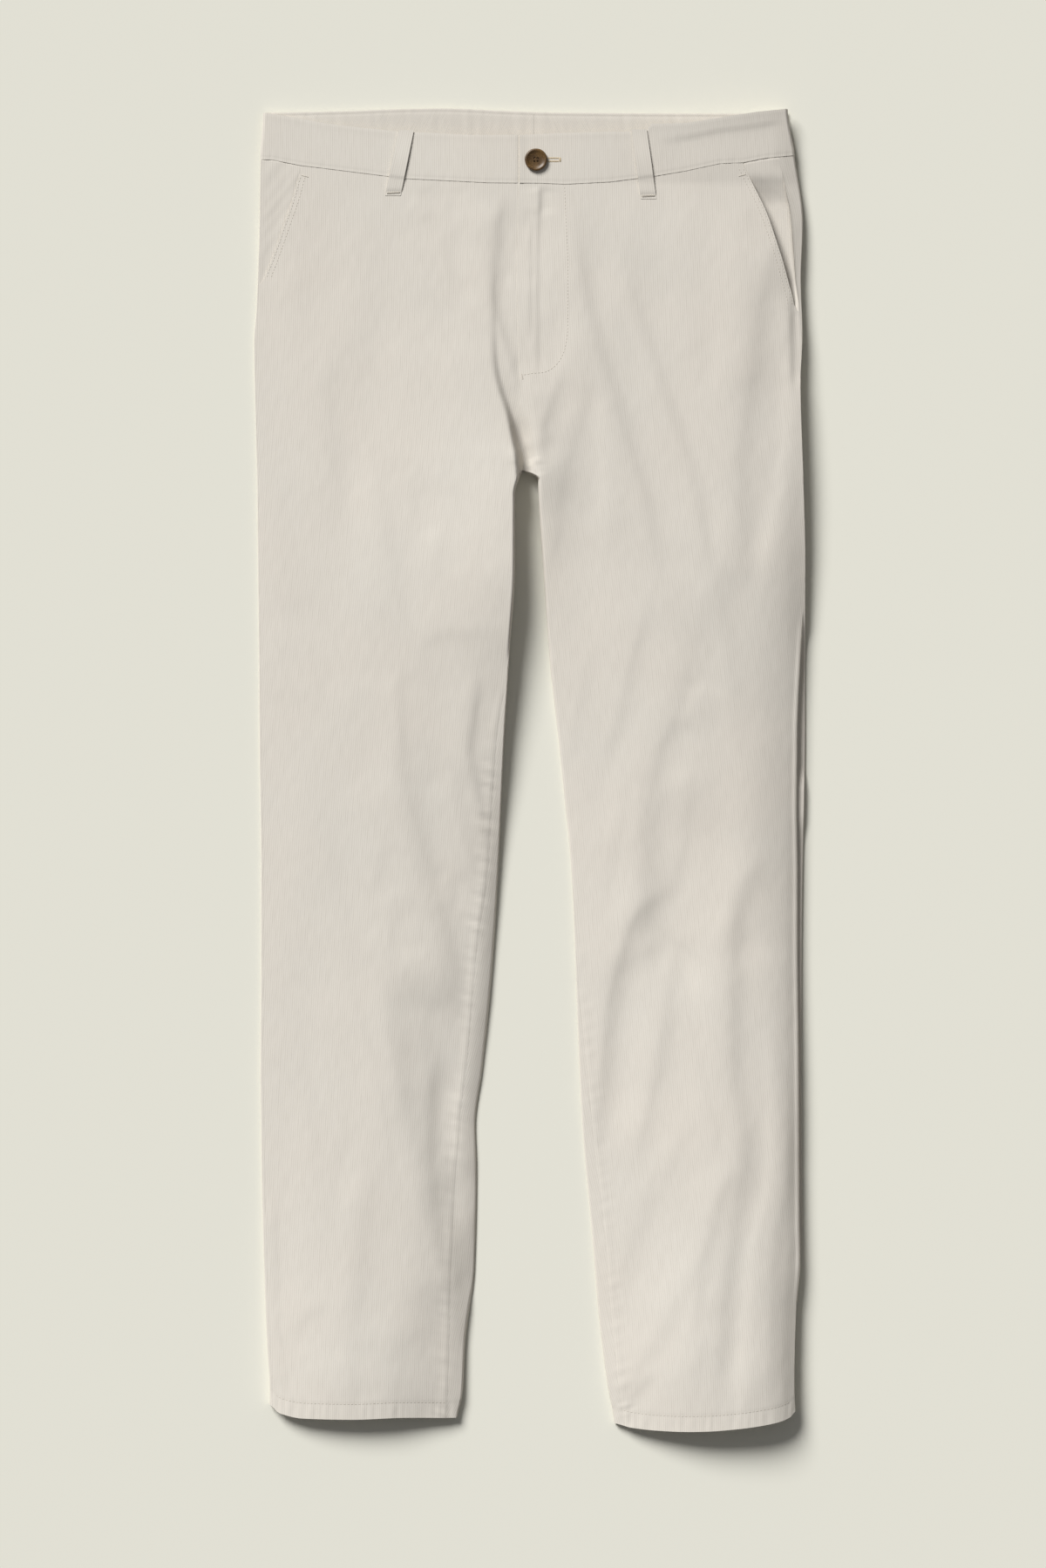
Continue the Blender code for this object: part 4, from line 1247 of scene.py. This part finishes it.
def threadMaterial(name, dark, light):
    graph = Graph(name)
    twist = graph.noise(graph.add("ShaderNodeTexCoord", output=objectPlace), 2600.0, 1.0)
    colour = graph.blend(twist, (*dark, 1), (*light, 1))
    return graph.finish(Base_Color=colour, Roughness=0.75, Sheen_Weight=0.1)


horn = {
    "dark": (0.045, 0.021, 0.005, 1),
    "mid": (0.135, 0.072, 0.019, 1),
    "light": (0.26, 0.155, 0.055, 1),
    "stretch": (180, 90, 120),
    "turn": (0, 0, 0.5),
}


def hornMaterial():
    graph = Graph("brown horn")
    place = graph.add("ShaderNodeTexCoord", output=objectPlace)
    layout = {"Vector": place, "Scale": horn["stretch"], "Rotation": horn["turn"]}
    cloud = graph.noise(graph.add("ShaderNodeMapping", (), layout), 1.0, 4.0, 0.6)
    streak = graph.noise(place, 900.0, 3.0, 0.7)
    colour = graph.blend(graph.clamp(cloud * 2.6 - 0.8), horn["dark"], horn["mid"])
    colour = graph.blend(graph.clamp(streak * 3.0 - 1.55), colour, horn["light"])
    return graph.finish(
        Base_Color=colour, Roughness=0.42, Coat_Weight=0.12, Coat_Roughness=0.3,
        Normal=graph.bump(0.00005, streak),
    )


def floorMaterial():
    graph = Graph("plain backdrop")
    return graph.finish(Base_Color=(0.800, 0.785, 0.693, 1), Roughness=1.0, Specular_IOR_Level=0.0)


ribbedCloth = clothMaterial("ribbed cotton", ribbed)
# The facing's colours are painted 3% darker, as shade inside the back of the waist
facingCloth = clothMaterial("bias facing", {**ribbed, "pitch": 1.2, "shade": 0.97})
# The sewing thread is darker than the cloth: partly the thread's own tan, partly painted shade of the
# dimples that the stitches press into the cloth
thread = threadMaterial("sewing thread", (0.53, 0.485, 0.415), (0.62, 0.575, 0.50))
print("materials made")

for leg in legs:
    makeFront(leg, ribbedCloth)
    makeBack(leg, ribbedCloth)
    makeBearer(leg, ribbedCloth)
    makeBandFront(leg, ribbedCloth)
    makeBandBack(leg, ribbedCloth)
    makeFacing(leg, facingCloth)
for node, (leg, start, end) in loops.items():
    makeLoop(node, leg, start, end, ribbedCloth)
makeFlyLayers(ribbedCloth)
print("cloth pieces made")


# Stitch rows

# Threads of the machined rows, and of the dense bars that hold the ends of openings and loops
hemThread = {"length": 2.2, "pitch": 3.0}
mouthThread = {"length": 1.9, "pitch": 2.6}
flyThread = {"length": 2.0, "pitch": 2.8}
mouthBar = {"length": 1.0, "pitch": 0.7, "radius": 0.3}
flyBar = {"length": 2.6, "pitch": 0.5, "radius": 0.3}
loopBar = {"length": 1.3, "pitch": 0.9, "radius": 0.28}

flyStitch = [
    (28.4, 64.6), (29.5, 90), (30.9, 120), (30.9, 160), (30.2, 189), (28, 199.5), (22.1, 209.8),
    (13.8, 215.8), (1.8, 217.3), (-5, 218.5),
]


def stitchHem(leg):
    for surfaceOf, fromOuter, fromInner in ((cover, 5, leg.inseam(1060) + 0.5), (tray, 6, 6)):
        start = leg.outer(1055) - leg.side * fromOuter
        end = leg.inner(1060) + leg.side * fromInner
        x = np.linspace(start, end, 40)
        path = np.stack([x, leg.hem(x) - sewing["hem"]], 1)
        addStitches("hem", surfaceOf, leg, path, **hemThread)


def stitchPocket(leg):
    downs = np.linspace(56 if leg is right else 50, leg.mouthEnd[0] - 1, 30)
    for inwards in (1.6, 5.2):
        path = np.stack([outerLine(leg, downs, leg.mouth(downs) + inwards), downs], 1)
        addStitches("pocket", cover, leg, path, **mouthThread)
    x = outerLine(leg, 54, leg.mouth(50))
    addStitches("pocket", cover, leg, [(x, 55.0), (x - leg.side * 6, 56.5)], **mouthBar)


def stitchFly():
    addStitches("fly", cover, left, flyStitch, **flyThread)
    addStitches("fly", cover, left, [(-6.5, 217.2), (-5.5, 222.5)], **flyBar)


def stitchLoops():
    for node, (leg, start, end) in loops.items():
        if "front" in node:
            for t in (0.953, 0.965):
                x, down = loopSpot(start, end, t)
                off = float(loopSize["rise"](t)) + loopSize["wall"] - 0.25
                bar = [(x - 5.4, down + 0.3), (x + 5.4, down - 0.3)]
                addStitches("loops", cover, leg, bar, depth=-off, **loopBar)


for leg in legs:
    stitchHem(leg)
for leg in legs:
    stitchPocket(leg)
stitchFly()
stitchLoops()
makeStitches(thread)


# Button
button = {
    "x": 5.3,
    "down": 43.3,
    "radius": 9.2,
    "height": 3.2,
    "sunk": 0.4,
    "holes": 0.85,
    "spread": 1.75,  # of the holes from the middle
    "dish": 0.64,  # height of the middle, as a share
    "steps": 64,
    # (share of the radius, share of the height) from the back's middle to the rim of the dish
    "profile": (
        (0, 0), (0.70, 0), (0.86, 0.10), (0.96, 0.30), (1.0, 0.55), (0.985, 0.78), (0.94, 0.93),
        (0.88, 1.0), (0.82, 0.985), (0.76, 0.90), (0.69, 0.79), (0.60, 0.71), (0.45, 0.66),
        (0.25, 0.64),
    ),
}
buttonPlace = np.array([[button["x"]], [button["down"]]])
seat = cover(left, *buttonPlace, -band["proud"] - button["sunk"])[0]


def buttonBlank(material):
    steps = button["steps"]
    points, faces, rings = [], [], []
    for share, up in (*button["profile"], (0, button["dish"])):
        count = steps if share else 1
        rings.append([len(points) + k for k in range(count)])
        for k in range(count):
            angle = 2 * math.pi * k / steps
            # Horn is never cut quite round
            wobble = 1 + 0.006 * math.sin(3 * angle + 0.6) + 0.004 * math.sin(7 * angle)
            reach = share * button["radius"] * wobble
            points.append((reach * math.cos(angle), reach * math.sin(angle), up * button["height"]))
    for a, b in zip(rings, rings[1:]):
        for k in range(steps):
            n = (k + 1) % steps
            corners = (a[k % len(a)], a[n % len(a)], b[n % len(b)], b[k % len(b)])
            faces.append(tuple(dict.fromkeys(corners)))
    return linkPiece("horn_button", np.array(points), faces, material)


def makeButton(material):
    piece = buttonBlank(material)
    piece.location = Vector(seat) * mm
    cutters = []
    for k in range(4):
        angle = math.radians(45 + 90 * k)
        spot = seat + button["spread"] * np.array([math.cos(angle), math.sin(angle), 0])
        bpy.ops.mesh.primitive_cylinder_add(
            vertices=24, radius=button["holes"] * mm, depth=button["height"] * 4 * mm, location=spot * mm
        )
        cutters.append(bpy.context.object)
        hole = piece.modifiers.new("hole", "BOOLEAN")
        hole.operation = "DIFFERENCE"
        hole.object = bpy.context.object
    bpy.context.view_layer.update()
    cut = bpy.data.meshes.new_from_object(piece.evaluated_get(bpy.context.evaluated_depsgraph_get()))
    piece.modifiers.clear()
    piece.data = cut
    cut.shade_smooth()
    cut.set_sharp_from_angle(angle=math.radians(50))
    for cutter in cutters:
        bpy.data.objects.remove(cutter, do_unlink=True)
    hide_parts("waist_button")


# Two crossed bars of three threads
def makeButtonThread(material):
    top = seat + np.array([0, 0, button["height"] * button["dish"] - 0.5])
    reach = button["spread"] * math.sqrt(0.5)
    upwards = np.array([0, 0, 1.0])
    stitchBins["button"] = []
    for way in (1, -1):
        for shift in (-0.22, 0.0, 0.22):
            middle = top + np.array([shift, -shift * way, 0])
            half = np.array([reach, reach * way, 0])
            stitchBins["button"].append((middle - half, middle + half, upwards, 0.2))
    makeStitches(material)


buttonhole = {
    "from": 0.5,
    "to": 24.4,
    "down": 43.1,
    "gap": 0.55,
    "deep": 1.5,
    "pitch": 0.62,
    "thread": {"length": 1.5, "pitch": 1.5, "radius": 0.3},
    "bar": {"length": 4.2, "pitch": 4.4, "radius": 0.32},
}


def bandSurface(leg, x, down, depth):
    return cover(leg, x, down, bandDepth(leg, x, down) + depth)


def makeButtonhole(material):
    count = int((buttonhole["to"] - buttonhole["from"]) / buttonhole["pitch"])
    for k in range(count):
        x = buttonhole["from"] + k * buttonhole["pitch"]
        for way in (-1, 1):
            near = buttonhole["down"] + way * buttonhole["gap"]
            path = [(x, near), (x, near + way * buttonhole["deep"])]
            addStitches("buttonhole", bandSurface, left, path, **buttonhole["thread"])
    for k in range(3):
        x = buttonhole["to"] + k * 0.5
        path = [(x, buttonhole["down"] - 2.2), (x, buttonhole["down"] + 2.2)]
        addStitches("buttonhole", bandSurface, left, path, **buttonhole["bar"])
    makeStitches(material)


makeButton(hornMaterial())
makeButtonThread(threadMaterial("button thread", (0.10, 0.05, 0.015), (0.20, 0.11, 0.04)))
makeButtonhole(threadMaterial("buttonhole thread", (0.50, 0.40, 0.25), (0.66, 0.55, 0.38)))
print("button made")


# What each sheet stands for, and the width, length and area it was cut to, in metres
cutSizes = {
    "front_right": (0.235, 1.03, 0.192), "front_left": (0.250, 1.04, 0.198),
    "back_right": (0.285, 1.04, 0.217), "back_left": (0.290, 1.05, 0.220),
    "pocket_bearer_right": (0.040, 0.10, 0.0030), "pocket_bearer_left": (0.045, 0.13, 0.0033),
    "waistband_front_right": (0.240, 0.045, 0.0093), "waistband_front_left": (0.235, 0.045, 0.0092),
    "waistband_back_right": (0.230, 0.042, 0.0090), "waistband_back_left": (0.225, 0.040, 0.0078),
    "waist_facing_right": (0.225, 0.042, 0.0088), "waist_facing_left": (0.215, 0.040, 0.0075),
    "belt_loop": (0.0135, 0.058, 0.0007),
    "fly_zip": (0.028, 0.17, 0.0044), "fly_shield": (0.040, 0.17, 0.0063),
}

for name, (width, length, area) in cutSizes.items():
    for node in [node for node in sheets if node.startswith(name)]:
        piece = sheets[node]
        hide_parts(node)
        built = sum(face.area for face in piece.data.polygons) / 2
        print(f"{node}: one side {built:.4f}, cut {area:.4f} square metres")


# Floor, light and camera
stage = {
    "floor": 6.0,
    "floorZ": -0.0003,
    "sun": 4.15,
    "sunAngle": 28,
    "towards": (-0.46, 0.66, 0.59),
    "sky": 0.165,
    "skyColour": (1.0, 1.0, 1.02, 1),
}

bpy.ops.mesh.primitive_plane_add(size=stage["floor"], location=(0, 0, stage["floorZ"]))
floor = bpy.context.object
floor.name = "backdrop"
floor.data.materials.append(floorMaterial())

sun = bpy.data.objects.new("window light", bpy.data.lights.new("window light", "SUN"))
sun.data.energy = stage["sun"]
sun.data.angle = math.radians(stage["sunAngle"])
sun.rotation_euler = Vector(stage["towards"]).to_track_quat("Z", "Y").to_euler()
bpy.context.collection.objects.link(sun)

world = bpy.data.worlds.new("room")
world.use_nodes = True
sky = world.node_tree.nodes["Background"]
sky.inputs["Color"].default_value = stage["skyColour"]
sky.inputs["Strength"].default_value = stage["sky"]
bpy.context.scene.world = world
bpy.context.scene.view_settings.view_transform = "Standard"
bpy.context.scene.view_settings.look = "None"

# tall: how much of the backdrop the frame takes in, at the height "level"
view = {"x": -5.3, "y": -12.4, "height": 4500, "tall": 1277.3, "level": 10, "sensor": 36}
camera = bpy.data.objects.new("camera", bpy.data.cameras.new("camera"))
camera.location = (view["x"] * mm, view["y"] * mm, view["height"] * mm)
camera.data.sensor_width = view["sensor"]
camera.data.lens = view["sensor"] * (view["height"] - view["level"]) / view["tall"]
bpy.context.collection.objects.link(camera)
bpy.context.scene.camera = camera
print("stage set")
